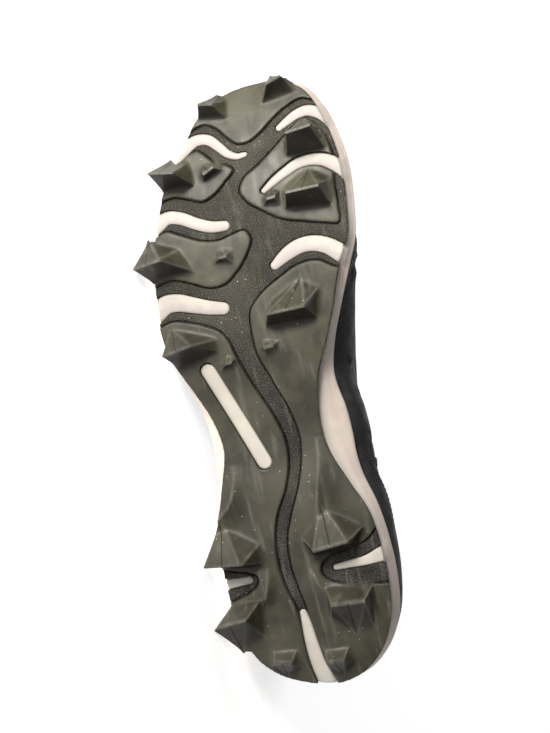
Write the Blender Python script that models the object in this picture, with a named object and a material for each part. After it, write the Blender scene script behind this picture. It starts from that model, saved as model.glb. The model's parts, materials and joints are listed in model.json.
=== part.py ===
"""Low baseball cleat with moulded studs, for the right foot, lying on its outer side.

Everything is drawn in the shoe's own frame: u runs from heel to toe, v across towards the inner
(medial) side, w up from the ground under the stud tips. Places in the tables are shares: a of
the length, b of the width of the sole at that length. At the end the shoe is turned over onto
its outer side, toe towards -X, sole towards -Y, and set down on the floor.
"""

import math

import bmesh
import bpy
import numpy as np
from mathutils import Matrix, Vector
from mathutils.geometry import delaunay_2d_cdt

# Sole, in metres
LENGTH = 0.300
BALL_WIDTH = 0.100
HEEL_WIDTH = 0.082
STUD_HEIGHT = 0.0135
TOE_SPRING = 0.021
HEEL_RISE = 0.005
ARCH_RISE = 0.003
EDGE_RISE = 0.0012
WEB_THICKNESS = 0.0024
POD_RAISE = 0.0012
POD_SLOPE = 0.0006
STUD_TIP = 0.0012
LUG_UNDERCUT = 1.25
SLOT_WIDTH = 0.008
RIB_RECESS = 0.0005
HEEL_STACK = 0.019
FOREFOOT_STACK = 0.0105
WAIST_FLARE = 0.012
RIM_ROUND = 0.0012
RIM_LEDGE = 0.0012
INSOLE_THICKNESS = 0.004

# Where along the length, as shares of it, the sole's own curves start and end
WIDTH_SPAN = (0.30, 0.60)
TOE_SPAN = (0.66, 1.00)
HEEL_SPAN = (0.10, 0.00)
ARCH_SPAN = (0.24, 0.58)
STACK_SPAN = (0.22, 0.68)
EDGE_RISE_MOST = 1.5

# Midsole's side: level of its fullest line, how far from foot to rim it lies, and how far it
# stands out and the rim drops as shares of RIM_ROUND
SIDE_LEVEL = 0.45
SIDE_OUT = 0.55
SIDE_FULL = 0.8

# Studs past the edge of the plate are never thinner there than this share of the web
LUG_LEAST = 0.6

# A rib's mouth is cut back in steps, up to a share of its length, till it clears the sole's edge
MOUTH_STEP = 0.02
MOUTH_MOST = 0.8

# Upper, in metres
COLLAR_HEIGHT = 0.062
WALL = 0.0020
COLLAR_PAD = 0.0045
COLLAR_FADE = 0.06
OVERLAY = 0.0011
TONGUE_THICKNESS = 0.0045
TONGUE_OVER_TOP = 0.025
TONGUE_DIP = 0.002
TONGUE_EASE = 0.0016
TONGUE_INSET = 0.004
LACE_WIDTH = 0.0070
LACE_THICKNESS = 0.0016
LACE_LIFT = 0.0014
LACE_BARS = 6
LACE_ARCH = 0.16
LACE_HEIGHTS = [0.90, 0.95, 1.0]
LACE_FACING = (-1.0, 0.0, 0.55)

# Spaces left between pieces, and the flat that the floor wears
GAP = 0.0003
CLEARANCE = 0.0008
FLOOR_FLAT = 0.0006

# Fineness of the meshes
OUTLINE_STEP = 0.0062
SLOT_STEP = 0.0042
GRID_STEP = 0.017
RIM_POINTS = 64
CAP_TURNS = 7
GRID_SPACE = 0.003
BED_GRID_SPACE = 0.008
TONGUE_ROWS = 12
NORMAL_STEP = 0.0015
NORMAL_LIFT = 0.012
ON_EDGE = 1e-5
FACET_SLACK = 1e-4
FLAT_MERGE = 5e-5
FINE_MERGE = 1e-6
SAME_POINT = 2e-6
SHARP_ANGLE = 28.0

# Weights in kg a cubic metre, and the share of a floor face's look that must be sideways
DENSITIES = {"outsole": 1150.0, "midsole": 220.0, "insole": 200.0, "tongue": 350.0}
UPPER_DENSITY = 900.0
SIDEWAYS = 0.8

# Plain finishes: colour and roughness
FINISHES = {
    "black_rubber": ((0.045, 0.046, 0.040), 0.55),
    "white_foam": ((0.80, 0.77, 0.74), 0.60),
    "black_synthetic": ((0.012, 0.012, 0.013), 0.42),
    "black_overlay": ((0.018, 0.018, 0.019), 0.38),
    "black_lining": ((0.020, 0.020, 0.021), 0.85),
    "black_lace": ((0.016, 0.016, 0.017), 0.80),
}

# Edge of the outsole plate from the heel along the outer side to the toe and back along the
# inner side. Flare is how far the foam midsole's rim stands outside it, a share of WAIST_FLARE.
PLATE_EDGE = [
    # a, b, flare
    (-0.004, 0.02, 0.15), (0.004, -0.12, 0.15), (0.020, -0.26, 0.15), (0.050, -0.385, 0.15),
    (0.095, -0.465, 0.12), (0.150, -0.505, 0.10), (0.220, -0.520, 0.10), (0.285, -0.500, 0.15),
    (0.340, -0.445, 0.35), (0.400, -0.385, 0.60), (0.450, -0.402, 0.45), (0.500, -0.456, 0.20),
    (0.560, -0.525, 0.08), (0.600, -0.548, 0.06), (0.660, -0.545, 0.06), (0.720, -0.525, 0.06),
    (0.780, -0.485, 0.06), (0.840, -0.420, 0.06), (0.900, -0.315, 0.08), (0.950, -0.205, 0.08),
    (0.974, -0.100, 0.08), (0.986, 0.060, 0.08), (0.984, 0.200, 0.08), (0.964, 0.310, 0.10),
    (0.930, 0.372, 0.15), (0.880, 0.420, 0.20), (0.830, 0.448, 0.20), (0.770, 0.450, 0.18),
    (0.710, 0.430, 0.18), (0.660, 0.365, 0.25), (0.600, 0.310, 0.12), (0.550, 0.257, 0.15),
    (0.500, 0.200, 0.45), (0.440, 0.176, 0.95), (0.380, 0.205, 0.95), (0.320, 0.305, 0.45),
    (0.270, 0.395, 0.22), (0.210, 0.438, 0.18), (0.150, 0.450, 0.18), (0.090, 0.425, 0.18),
    (0.045, 0.350, 0.15), (0.010, 0.215, 0.15),
]

# Slots in the outsole, where ribs of the midsole come through. Each runs from its mouth at the
# edge to its round end; width is a share of SLOT_WIDTH.
SLOTS = {
    # name: rows of a, b, width
    "toe_outer": [(0.880, -0.375, 0.95), (0.896, -0.310, 0.90), (0.908, -0.245, 0.82),
                  (0.906, -0.190, 0.76), (0.891, -0.138, 0.68), (0.876, -0.095, 0.60),
                  (0.869, -0.050, 0.50), (0.870, -0.012, 0.42)],
    "ball_outer": [(0.764, -0.555, 1.05), (0.777, -0.490, 1.00), (0.787, -0.435, 0.92),
                   (0.783, -0.370, 0.88), (0.770, -0.295, 0.84), (0.760, -0.215, 0.80),
                   (0.7585, -0.155, 0.72)],
    "waist_outer": [(0.626, -0.620, 1.40), (0.637, -0.555, 1.32), (0.647, -0.500, 1.24),
                    (0.647, -0.445, 1.18), (0.640, -0.375, 1.08), (0.631, -0.290, 0.96),
                    (0.626, -0.222, 0.86)],
    "toe_inner": [(0.900, 0.435, 0.86), (0.918, 0.375, 0.82), (0.9255, 0.320, 0.78),
                  (0.922, 0.265, 0.70), (0.913, 0.215, 0.62), (0.904, 0.172, 0.48)],
    "ball_inner": [(0.806, 0.495, 1.05), (0.827, 0.425, 0.96), (0.839, 0.365, 0.90),
                   (0.8425, 0.305, 0.82), (0.840, 0.245, 0.76), (0.830, 0.180, 0.70),
                   (0.817, 0.112, 0.60), (0.8045, 0.060, 0.44)],
    "waist_inner": [(0.664, 0.455, 1.30), (0.683, 0.388, 1.20), (0.698, 0.330, 1.10),
                    (0.706, 0.265, 1.05), (0.706, 0.205, 1.02), (0.699, 0.145, 0.96),
                    (0.689, 0.095, 0.80), (0.681, 0.062, 0.64)],
    "heel_inner": [(0.200, 0.530, 1.40), (0.196, 0.430, 1.00), (0.190, 0.340, 0.70),
                   (0.188, 0.250, 0.58), (0.1855, 0.155, 0.46)],
    "heel_outer": [(0.178, -0.600, 0.78), (0.1805, -0.500, 0.70), (0.182, -0.420, 0.60),
                   (0.183, -0.370, 0.54)],
    "heel_back": [(-0.035, 0.005, 1.30), (0.000, -0.010, 1.22), (0.030, -0.040, 1.02),
                  (0.070, -0.062, 0.86), (0.100, -0.072, 0.70), (0.120, -0.082, 0.50)],
}

# Plain straight window under the arch, round at both ends: a, b of its ends, share of width
ARCH_WINDOW = [(0.530, -0.355, 1.0), (0.370, -0.170, 1.0)]

# Serpentine channel that parts the two rear pods: a, b of its outer side, b of its inner side
CHANNEL = [
    (0.575, -0.225, -0.097), (0.550, -0.202, -0.092), (0.500, -0.150, -0.039),
    (0.440, -0.068, 0.033), (0.400, -0.028, 0.059), (0.360, -0.032, 0.046),
    (0.320, -0.075, 0.006), (0.280, -0.146, -0.055), (0.240, -0.180, -0.100),
    (0.200, -0.180, -0.105), (0.160, -0.155, -0.080), (0.125, -0.112, -0.052),
]

# Raised smooth pods of the outsole. Where a pod runs to the edge its outline goes on past it.
PODS = {
    "toe": [(0.918, -0.300), (0.930, -0.235), (0.932, -0.195), (0.922, -0.135), (0.903, -0.085),
            (0.890, -0.040), (0.889, 0.005), (0.900, 0.070), (0.920, 0.140), (0.940, 0.230),
            (0.948, 0.300), (0.942, 0.360), (0.945, 0.450), (1.030, 0.300), (1.045, 0.000),
            (1.020, -0.260)],
    "front_outer": [(0.806, -0.500), (0.817, -0.430), (0.819, -0.385), (0.811, -0.310),
                    (0.804, -0.240), (0.811, -0.190), (0.830, -0.125), (0.849, -0.078),
                    (0.857, -0.110), (0.860, -0.150), (0.876, -0.198), (0.889, -0.245),
                    (0.884, -0.300), (0.872, -0.390), (0.900, -0.520), (0.840, -0.580)],
    "ball_outer": [(0.668, -0.600), (0.682, -0.510), (0.685, -0.455), (0.674, -0.350),
                   (0.663, -0.270), (0.664, -0.200), (0.682, -0.125), (0.710, -0.060),
                   (0.731, -0.035), (0.745, -0.060), (0.743, -0.110), (0.736, -0.190),
                   (0.739, -0.270), (0.755, -0.380), (0.764, -0.440), (0.756, -0.530),
                   (0.780, -0.660), (0.700, -0.700)],
    "ball_inner": [(0.913, 0.290), (0.905, 0.335), (0.885, 0.378), (0.850, 0.413),
                   (0.800, 0.406), (0.760, 0.406), (0.733, 0.398), (0.736, 0.340),
                   (0.745, 0.230), (0.753, 0.140), (0.772, 0.045), (0.795, -0.035),
                   (0.811, -0.057), (0.826, -0.038), (0.850, 0.058), (0.880, 0.168),
                   (0.904, 0.252)],
}
REAR_OUTER_FRONT = [(0.602, -0.640), (0.610, -0.555), (0.617, -0.480), (0.611, -0.395),
                    (0.600, -0.310), (0.590, -0.258)]
REAR_OUTER_BACK = [(0.070, -0.085), (-0.030, -0.050), (-0.060, -0.300), (0.030, -0.620),
                   (0.150, -0.750), (0.300, -0.750), (0.450, -0.700)]
REAR_INNER_FRONT = [(0.650, 0.450), (0.664, 0.345), (0.678, 0.270), (0.677, 0.185),
                    (0.660, 0.075), (0.636, -0.035), (0.615, -0.088), (0.595, -0.098)]
REAR_INNER_BACK = [(0.070, -0.040), (-0.030, 0.000), (-0.070, 0.250), (0.030, 0.600),
                   (0.150, 0.700), (0.300, 0.650), (0.430, 0.480), (0.550, 0.450)]

# Bays at web level around the two heel slots
BAYS = {
    "heel_outer": [(0.212, -0.700), (0.207, -0.540), (0.199, -0.420), (0.195, -0.358),
                   (0.187, -0.316), (0.176, -0.316), (0.166, -0.355), (0.153, -0.470),
                   (0.146, -0.560), (0.140, -0.700)],
    "heel_inner": [(0.262, 0.600), (0.240, 0.425), (0.224, 0.360), (0.214, 0.255),
                   (0.207, 0.145), (0.196, 0.082), (0.182, 0.066), (0.170, 0.088),
                   (0.160, 0.165), (0.153, 0.290), (0.150, 0.430), (0.146, 0.600)],
}

# Studs. The peak is a ridge from the outer to the inner end; from the point, where the front
# starts, two facets climb to it, and the back drops steeply to its two feet. The flanks spread
# to the sides. An outer flank of None lets the stud stand out past the edge of the plate.
STUDS = [
    # name, point, ridge outer, ridge inner, back outer, back inner, flank outer, flank inner,
    # reach as a share of the height to the ground
    ("toe_outer", (0.980, -0.118), (0.964, -0.200), (0.960, -0.130),
     (0.938, -0.228), (0.930, -0.065), None, (0.970, -0.068), 0.36),
    ("toe_inner", (0.996, 0.160), (0.977, 0.148), (0.988, 0.228),
     (0.944, 0.095), (0.956, 0.285), (0.972, 0.115), (0.976, 0.270), 0.36),
    ("front_outer", (0.885, -0.375), (0.858, -0.465), (0.852, -0.342),
     (0.830, -0.435), (0.829, -0.270), None, (0.876, -0.290), 0.92),
    ("front_inner", (0.911, 0.290), (0.884, 0.225), (0.890, 0.345),
     (0.849, 0.190), (0.852, 0.395), (0.878, 0.205), (0.886, 0.372), 0.88),
    ("ball_outer", (0.757, -0.545), (0.709, -0.605), (0.717, -0.470),
     (0.684, -0.545), (0.690, -0.315), None, (0.735, -0.385), 1.00),
    ("ball_inner", (0.828, 0.290), (0.790, 0.185), (0.793, 0.345),
     (0.764, 0.150), (0.758, 0.385), (0.802, 0.160), (0.806, 0.390), 1.00),
    ("waist_outer", (0.609, -0.500), (0.564, -0.535), (0.574, -0.385),
     (0.536, -0.485), (0.556, -0.265), None, (0.580, -0.255), 1.00),
    ("waist_inner", (0.658, 0.180), (0.605, 0.005), (0.609, 0.190),
     (0.582, -0.035), (0.584, 0.235), (0.622, 0.010), (0.640, 0.270), 1.00),
    ("heel_front_outer", (0.288, -0.490), (0.219, -0.600), (0.215, -0.380),
     (0.210, -0.520), (0.206, -0.250), None, (0.246, -0.255), 1.00),
    ("heel_front_inner", (0.293, 0.115), (0.223, 0.055), (0.231, 0.265),
     (0.207, 0.030), (0.218, 0.310), (0.240, -0.025), (0.248, 0.370), 1.00),
    ("heel_rear_outer", (0.066, -0.475), (0.117, -0.595), (0.126, -0.400),
     (0.149, -0.495), (0.158, -0.290), None, (0.082, -0.315), 1.00),
    ("heel_rear_inner", (0.070, 0.215), (0.131, 0.110), (0.131, 0.310),
     (0.163, 0.060), (0.154, 0.365), (0.100, 0.075), (0.075, 0.330), 1.00),
    ("heel_tip_outer", (0.018, -0.235), (0.047, -0.290), (0.043, -0.185),
     (0.068, -0.295), (0.068, -0.140), (0.038, -0.318), (0.028, -0.115), 0.50),
    ("heel_tip_inner", (0.008, 0.100), (0.036, 0.018), (0.037, 0.125),
     (0.062, 0.022), (0.062, 0.165), (0.022, 0.045), (0.025, 0.195), 0.50),
    ("nub_front", (0.864, -0.228), (0.847, -0.220), (0.857, -0.168),
     (0.830, -0.232), (0.848, -0.104), (0.850, -0.246), (0.860, -0.135), 0.30),
    ("nub_ball_outer", (0.727, -0.195), (0.708, -0.196), (0.710, -0.158),
     (0.698, -0.248), (0.692, -0.122), (0.710, -0.242), (0.722, -0.122), 0.30),
    ("nub_ball_inner", (0.807, 0.100), (0.790, 0.078), (0.792, 0.120),
     (0.776, 0.038), (0.772, 0.142), (0.795, 0.045), (0.802, 0.140), 0.30),
    ("nub_waist_outer", (0.552, -0.240), (0.537, -0.252), (0.540, -0.215),
     (0.524, -0.300), (0.522, -0.205), (0.540, -0.285), (0.542, -0.192), 0.28),
    ("nub_waist_inner", (0.570, -0.050), (0.554, -0.048), (0.556, 0.000),
     (0.534, -0.055), (0.536, 0.005), (0.556, -0.078), (0.562, 0.038), 0.28),
]

# Upper. Each row is one line up the wall, from the rim of the sole to the top edge.
WALL_LINES = [
    # side, a of the foot; a, b and rise of the top; lean and rise of the wall's lower part;
    # how far its upper part comes in from the outside and from below. Rises are shares of
    # COLLAR_HEIGHT, the other three of BALL_WIDTH.
    ("heel", 0.00, 0.020, -0.020, 1.00, 0.060, 0.36, 0.030, 0.34),
    ("outer", 0.06, 0.050, -0.260, 0.97, 0.028, 0.36, 0.035, 0.34),
    ("outer", 0.14, 0.120, -0.410, 0.90, -0.005, 0.34, 0.055, 0.36),
    ("outer", 0.23, 0.205, -0.430, 0.83, -0.010, 0.32, 0.065, 0.36),
    ("outer", 0.32, 0.290, -0.385, 0.88, 0.025, 0.28, 0.090, 0.34),
    ("outer", 0.39, 0.350, -0.270, 1.10, 0.120, 0.26, 0.130, 0.30),
    ("outer", 0.45, 0.395, -0.200, 1.27, 0.110, 0.25, 0.180, 0.22),
    ("outer", 0.53, 0.465, -0.180, 1.13, 0.070, 0.26, 0.230, 0.13),
    ("outer", 0.61, 0.535, -0.165, 0.97, 0.045, 0.28, 0.260, 0.08),
    ("outer", 0.69, 0.600, -0.145, 0.84, 0.035, 0.30, 0.280, 0.05),
    ("outer", 0.77, 0.650, -0.112, 0.765, 0.030, 0.32, 0.300, 0.05),
    ("outer", 0.85, 0.680, -0.070, 0.725, 0.025, 0.34, 0.340, 0.06),
    ("outer", 0.93, 0.693, -0.028, 0.705, 0.020, 0.37, 0.440, 0.11),
    ("toe", 1.00, 0.697, 0.014, 0.700, 0.015, 0.40, 0.560, 0.16),
    ("inner", 0.94, 0.693, 0.056, 0.705, 0.020, 0.37, 0.440, 0.11),
    ("inner", 0.87, 0.680, 0.096, 0.725, 0.025, 0.34, 0.330, 0.06),
    ("inner", 0.79, 0.650, 0.137, 0.765, 0.030, 0.32, 0.290, 0.05),
    ("inner", 0.71, 0.600, 0.165, 0.84, 0.035, 0.30, 0.260, 0.05),
    ("inner", 0.63, 0.535, 0.182, 0.97, 0.070, 0.28, 0.240, 0.08),
    ("inner", 0.55, 0.465, 0.192, 1.13, 0.115, 0.26, 0.220, 0.13),
    ("inner", 0.46, 0.395, 0.210, 1.27, 0.150, 0.25, 0.190, 0.20),
    ("inner", 0.39, 0.350, 0.285, 1.10, 0.130, 0.26, 0.130, 0.28),
    ("inner", 0.32, 0.290, 0.365, 0.90, 0.090, 0.28, 0.090, 0.32),
    ("inner", 0.23, 0.205, 0.385, 0.85, 0.060, 0.32, 0.070, 0.32),
    ("inner", 0.14, 0.120, 0.350, 0.91, 0.050, 0.34, 0.050, 0.34),
    ("inner", 0.06, 0.050, 0.205, 0.97, 0.045, 0.36, 0.040, 0.34),
]
SIDE_PULL = 0.3

# The throat's corners, as rows of WALL_LINES counted from 0
THROAT_OUTER_BACK = 6
THROAT_OUTER_FRONT = 11
THROAT_INNER_FRONT = 15
THROAT_INNER_BACK = 20

HEIGHTS_UP_WALL = [0.0, 0.03, 0.11, 0.21, 0.33, 0.46, 0.59, 0.71, 0.82, 0.90, 0.96, 1.0]
EYESTAY_ROWS = 8
COUNTER_EDGE = [
    # a and height over the bed as a share of COLLAR_HEIGHT, from the sole up and back
    (0.425, -0.30), (0.380, 0.02), (0.330, 0.25), (0.250, 0.45), (0.150, 0.57), (0.000, 0.63),
    (-0.120, 0.66),
]
COUNTER_STEPS = 14
COUNTER_BED_AT = 0.1
PAD_OVER_HEIGHT = [(0.0, 0.0), (0.55, 0.0), (0.72, 0.45), (0.88, 1.0), (0.96, 0.75), (1.0, 0.30)]
COLLAR_FRONT = 0.33

# Tongue: how far up the wall its sides start at the vamp and at the top, its arch across the
# throat as a share of the gap, and the rounding of its free end
TONGUE_TUCK = 0.86
TONGUE_TUCK_TOP = 0.94
TONGUE_ARCH = 0.10
TONGUE_TIP = [
    # length as a share of TONGUE_OVER_TOP, width as a share of the tongue's
    (0.40, 0.90), (0.76, 0.85), (1.0, 0.70),
]
TONGUE_SIDE_POINTS = 3
TONGUE_FULLNESS = [0.45, 0.8, 1.0, 1.0, 1.0, 1.0, 1.0, 0.8, 0.45]
ACROSS_SHARES = (0.25, 0.5, 0.75)


def eased(a, span):
    """0 to 1 over a span of the length, level at both ends."""
    t = np.clip((np.asarray(a, float) - span[0]) / (span[1] - span[0]), 0.0, 1.0)
    return t * t * (3.0 - 2.0 * t)


def width_at(a):
    """Width of the sole at a share of its length: the heel's, easing into the ball's."""
    return HEEL_WIDTH + (BALL_WIDTH - HEEL_WIDTH) * eased(a, WIDTH_SPAN)


def place(points):
    """Shares (a, b) as metres (u, v)."""
    points = np.asarray(points, float)
    return np.stack([points[:, 0] * LENGTH, points[:, 1] * width_at(points[:, 0])], axis=1)


def web_level(uv):
    """Height of the underside of the outsole's web above the ground."""
    a = uv[:, 0] / LENGTH
    toe, heel, arch = [(a - start) / (end - start) for start, end in
                       (TOE_SPAN, HEEL_SPAN, ARCH_SPAN)]
    toe = np.clip(toe, 0.0, None) ** 2
    heel = np.clip(heel, 0.0, None) ** 2
    arch = np.sin(np.pi * np.clip(arch, 0.0, 1.0)) ** 2
    edge = (2.0 * uv[:, 1] / width_at(a)) ** 4
    rise = TOE_SPRING * toe + HEEL_RISE * heel + ARCH_RISE * arch
    return STUD_HEIGHT + rise + EDGE_RISE * np.clip(edge, 0.0, EDGE_RISE_MOST)


def bed_level(uv):
    """Height of the midsole's top, on which the foot and the upper stand."""
    stack = HEEL_STACK + (FOREFOOT_STACK - HEEL_STACK) * eased(uv[:, 0] / LENGTH, STACK_SPAN)
    on_axis = np.stack([uv[:, 0], np.zeros(len(uv))], axis=1)
    return web_level(on_axis) + WEB_THICKNESS + stack


def glide(knots, values, at, period=None):
    """A smooth curve through values at knots, read at the places at; period closes it."""
    knots, values, at = np.asarray(knots, float), np.asarray(values, float), np.asarray(at, float)
    if period:
        knots = np.concatenate([knots[-2:] - period, knots, knots[:2] + period])
        values = np.concatenate([values[-2:], values, values[:2]])
        at = (at - knots[2]) % period + knots[2]
    slope = np.gradient(values, knots, axis=0, edge_order=1)
    i = np.clip(np.searchsorted(knots, at, side="right") - 1, 0, len(knots) - 2)
    span = knots[i + 1] - knots[i]
    t = ((at - knots[i]) / span)[:, None]
    span = span[:, None]
    return (values[i] * (1 + 2 * t) * (1 - t) ** 2 + slope[i] * span * t * (1 - t) ** 2
            + values[i + 1] * t * t * (3 - 2 * t) + slope[i + 1] * span * t * t * (t - 1))


def chord_knots(points, closed):
    ends = np.roll(points, -1, axis=0) if closed else points[1:]
    steps = np.linalg.norm(ends - points[:len(ends)], axis=1)
    return np.concatenate([[0.0], np.cumsum(steps)])


def smooth_outline(points, step):
    """A closed smooth outline through points, with points about step apart."""
    points = np.asarray(points, float)
    knots = chord_knots(points[:, :2], True)
    count = max(8, round(knots[-1] / step))
    at = np.arange(count) * knots[-1] / count
    return glide(knots[:-1], points, at, period=knots[-1])


def outward(loop):
    """Unit normals of a closed loop of points in the plane, pointing out of it."""
    along = np.roll(loop, -1, axis=0) - np.roll(loop, 1, axis=0)
    along /= np.linalg.norm(along, axis=1)[:, None]
    area = np.sum(loop[:, 0] * np.roll(loop[:, 1], -1) - loop[:, 1] * np.roll(loop[:, 0], -1))
    return np.stack([along[:, 1], -along[:, 0]], axis=1) * np.sign(area)


def depth(loop, points):
    """How deep each point lies inside a closed loop; negative outside."""
    nearest = np.full(len(points), np.inf)
    crossings = np.zeros(len(points), int)
    for p, q in zip(loop, np.roll(loop, -1, axis=0)):
        line = q - p
        t = np.clip((points - p) @ line / (line @ line + 1e-18), 0.0, 1.0)
        nearest = np.minimum(nearest, np.linalg.norm(points - p - t[:, None] * line, axis=1))
        between = (p[0] > points[:, 0]) != (q[0] > points[:, 0])
        if between.any():
            v = p[1] + (points[:, 0] - p[0]) * line[1] / (line[0] if line[0] else 1e-18)
            crossings += between & (points[:, 1] < v)
    return np.where(crossings % 2 == 1, nearest, -nearest)


def slot_outline(rows, grow, both_round=False, mouth=0.0):
    """Outline of a slot along its centre line, made wider by grow on each side. Mouth is the
    share of the centre line that is left off at its open end."""
    rows = np.asarray(rows, float)
    centre = np.column_stack([place(rows[:, :2]), rows[:, 2] * SLOT_WIDTH / 2.0 + grow])
    knots = chord_knots(centre[:, :2], False)
    count = max(3, round(knots[-1] * (1.0 - mouth) / SLOT_STEP))
    line = glide(knots, centre, np.linspace(knots[-1] * mouth, knots[-1], count + 1))
    along = np.gradient(line[:, :2], axis=0)
    along /= np.linalg.norm(along, axis=1)[:, None]
    side = np.stack([-along[:, 1], along[:, 0]], axis=1)
    left, right = line[:, :2] + side * line[:, 2:], line[:, :2] - side * line[:, 2:]

    def cap(i, sign):
        turns = np.linspace(math.pi / 2, -math.pi / 2, CAP_TURNS)[1:-1] * sign
        return [line[i, :2] + line[i, 2] * (sign * math.cos(t) * along[i] + math.sin(t) * side[i])
                for t in turns]

    start = cap(0, -1) if both_round else []
    return np.array([*left, *cap(-1, 1), *right[::-1], *start])


def slot_shapes(grow, inside=None):
    """All slots and the window. Given a loop, each slot stops short of it at its mouth."""
    shapes = [slot_outline(ARCH_WINDOW, grow, both_round=True)]
    for rows in SLOTS.values():
        mouth = 0.0
        shape = slot_outline(rows, grow)
        while (inside is not None and depth(inside, shape).min() < CLEARANCE
               and mouth < MOUTH_MOST):
            mouth += MOUTH_STEP
            shape = slot_outline(rows, grow, mouth=mouth)
        shapes.append(shape)
    return shapes


def pod_shapes():
    channel = np.array(CHANNEL)
    outer_side, inner_side = channel[:, [0, 1]].tolist(), channel[:, [0, 2]].tolist()
    outlines = [*PODS.values(), REAR_OUTER_FRONT + outer_side + REAR_OUTER_BACK,
                REAR_INNER_FRONT + inner_side + REAR_INNER_BACK]
    return [smooth_outline(place(rows), OUTLINE_STEP) for rows in outlines]


def bay_shapes():
    return [smooth_outline(place(rows), OUTLINE_STEP) for rows in BAYS.values()]


def stud_facets(stud):
    """The corners of a stud in plan with their heights as shares of its own, and its facets."""
    name, point, outer, inner, back_outer, back_inner, flank_outer, flank_inner, reach = stud
    p = dict(zip(("point", "outer", "inner", "back_outer", "back_inner"),
                 place([point, outer, inner, back_outer, back_inner])))
    middle = (p["outer"] + p["inner"]) / 2.0
    back = (p["back_outer"] + p["back_inner"]) / 2.0 - middle
    set_back = back / np.linalg.norm(back) * STUD_TIP
    inner_flank = place([flank_inner])[0]
    corners = [p["point"], p["outer"], middle, p["inner"], p["outer"] + set_back,
               middle + set_back, p["inner"] + set_back, p["back_outer"], p["back_inner"],
               inner_flank]
    heights = [0, 1, 1, 1, 1, 1, 1, 0, 0, 0]
    facets = [(0, 1, 2), (0, 2, 3), (1, 4, 5), (1, 5, 2), (2, 5, 6), (2, 6, 3),
              (4, 7, 5), (5, 7, 8), (5, 8, 6), (0, 3, 9), (9, 3, 6), (9, 6, 8)]
    rim = [0, 9, 8, 7]
    if flank_outer is None:
        facets += [(1, 7, 4)]
        rim += [1]
    else:
        corners.append(place([flank_outer])[0])
        heights.append(0)
        facets += [(0, 10, 1), (10, 4, 1), (10, 7, 4)]
        rim += [10]
    tip_level = web_level(middle[None])[0]
    return np.array(corners), np.array(heights) * reach * tip_level, facets, rim


def stud_height(studs, points):
    """Height of the studs over the web at each point."""
    height = np.zeros(len(points))
    for corners, heights, facets, _ in studs:
        for facet in facets:
            p, q, r = corners[list(facet)]
            whole = (q[0] - p[0]) * (r[1] - p[1]) - (r[0] - p[0]) * (q[1] - p[1])
            if abs(whole) < 1e-12:
                continue
            d = points - p
            s = (d[:, 0] * (r[1] - p[1]) - (r[0] - p[0]) * d[:, 1]) / whole
            t = ((q[0] - p[0]) * d[:, 1] - d[:, 0] * (q[1] - p[1])) / whole
            inside = (s > -FACET_SLACK) & (t > -FACET_SLACK) & (s + t < 1.0 + FACET_SLACK)
            hp, hq, hr = heights[list(facet)]
            here = hp + s * (hq - hp) + t * (hr - hp)
            height = np.where(inside, np.maximum(height, here), height)
    return height


def triangulate(loops, lines, points, keep, merge=FLAT_MERGE):
    """Triangles of the plane that hold the loops and lines as edges, kept where keep says."""
    verts, edges = [], []
    for loop in loops:
        first = len(verts)
        verts += [Vector(p) for p in loop]
        edges += [(first + i, first + (i + 1) % len(loop)) for i in range(len(loop))]
    for p, q in lines:
        edges.append((len(verts), len(verts) + 1))
        verts += [Vector(p), Vector(q)]
    verts += [Vector(p) for p in points]
    made = delaunay_2d_cdt(verts, edges, [], 0, merge)
    flat = np.array([tuple(v) for v in made[0]])
    faces = np.array([f for f in made[2] if len(f) == 3])
    faces = faces[keep(flat[faces].mean(axis=1))]
    used, faces = np.unique(faces, return_inverse=True)
    return flat[used], faces.reshape(-1, 3)


def grid_points(loop, step, edge_space, others=()):
    """Points of a grid inside a loop, none too near it or the other loops."""
    low, high = loop.min(axis=0), loop.max(axis=0)
    us, vs = np.arange(low[0], high[0], step), np.arange(low[1], high[1], step)
    points = np.array([(u + (j % 2) * step / 2, v) for j, v in enumerate(vs) for u in us])
    points = points[depth(loop, points) > edge_space]
    for other in others:
        points = points[np.abs(depth(other, points)) > edge_space]
    return points


def boundary_edges(faces):
    """Directed edges that only one triangle has."""
    sides = {(int(a), int(b)) for f in faces for a, b in zip(f, np.roll(f, -1))}
    return [(a, b) for a, b in sides if (b, a) not in sides]


def settle(mesh, material):
    """Joins points that coincide, cuts the faces into triangles that point outward, and
    shades them smooth up to the sharp edges."""
    made = bmesh.new()
    made.from_mesh(mesh)
    bmesh.ops.remove_doubles(made, verts=made.verts, dist=SAME_POINT)
    bmesh.ops.triangulate(made, faces=made.faces)
    bmesh.ops.recalc_face_normals(made, faces=made.faces)
    made.to_mesh(mesh)
    made.free()
    mesh.materials.clear()
    mesh.materials.append(material)
    mesh.shade_smooth()
    mesh.set_sharp_from_angle(angle=math.radians(SHARP_ANGLE))


def closed_mesh(name, points, faces, material):
    mesh = bpy.data.meshes.new(name)
    mesh.from_pydata([tuple(p) for p in points], [], [tuple(int(i) for i in f) for f in faces])
    settle(mesh, material)
    piece = bpy.data.objects.new(name, mesh)
    bpy.context.scene.collection.objects.link(piece)
    return piece


def slab(name, flat, faces, low, high, material):
    """A closed solid between two heights over the same triangles of the plane."""
    n = len(flat)
    points = np.concatenate([np.column_stack([flat, low]), np.column_stack([flat, high])])
    sides = [(b, a, a + n, b + n) for a, b in boundary_edges(faces)]
    return closed_mesh(name, points, [*faces[:, ::-1].tolist(), *(faces + n).tolist(), *sides],
                       material)


def make_material(name, colour, roughness):
    made = bpy.data.materials.new(name)
    made.use_nodes = True
    shader = made.node_tree.nodes["Principled BSDF"]
    shader.inputs["Base Color"].default_value = (*colour, 1.0)
    shader.inputs["Roughness"].default_value = roughness
    shader.inputs["Metallic"].default_value = 0.0
    return made


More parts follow.
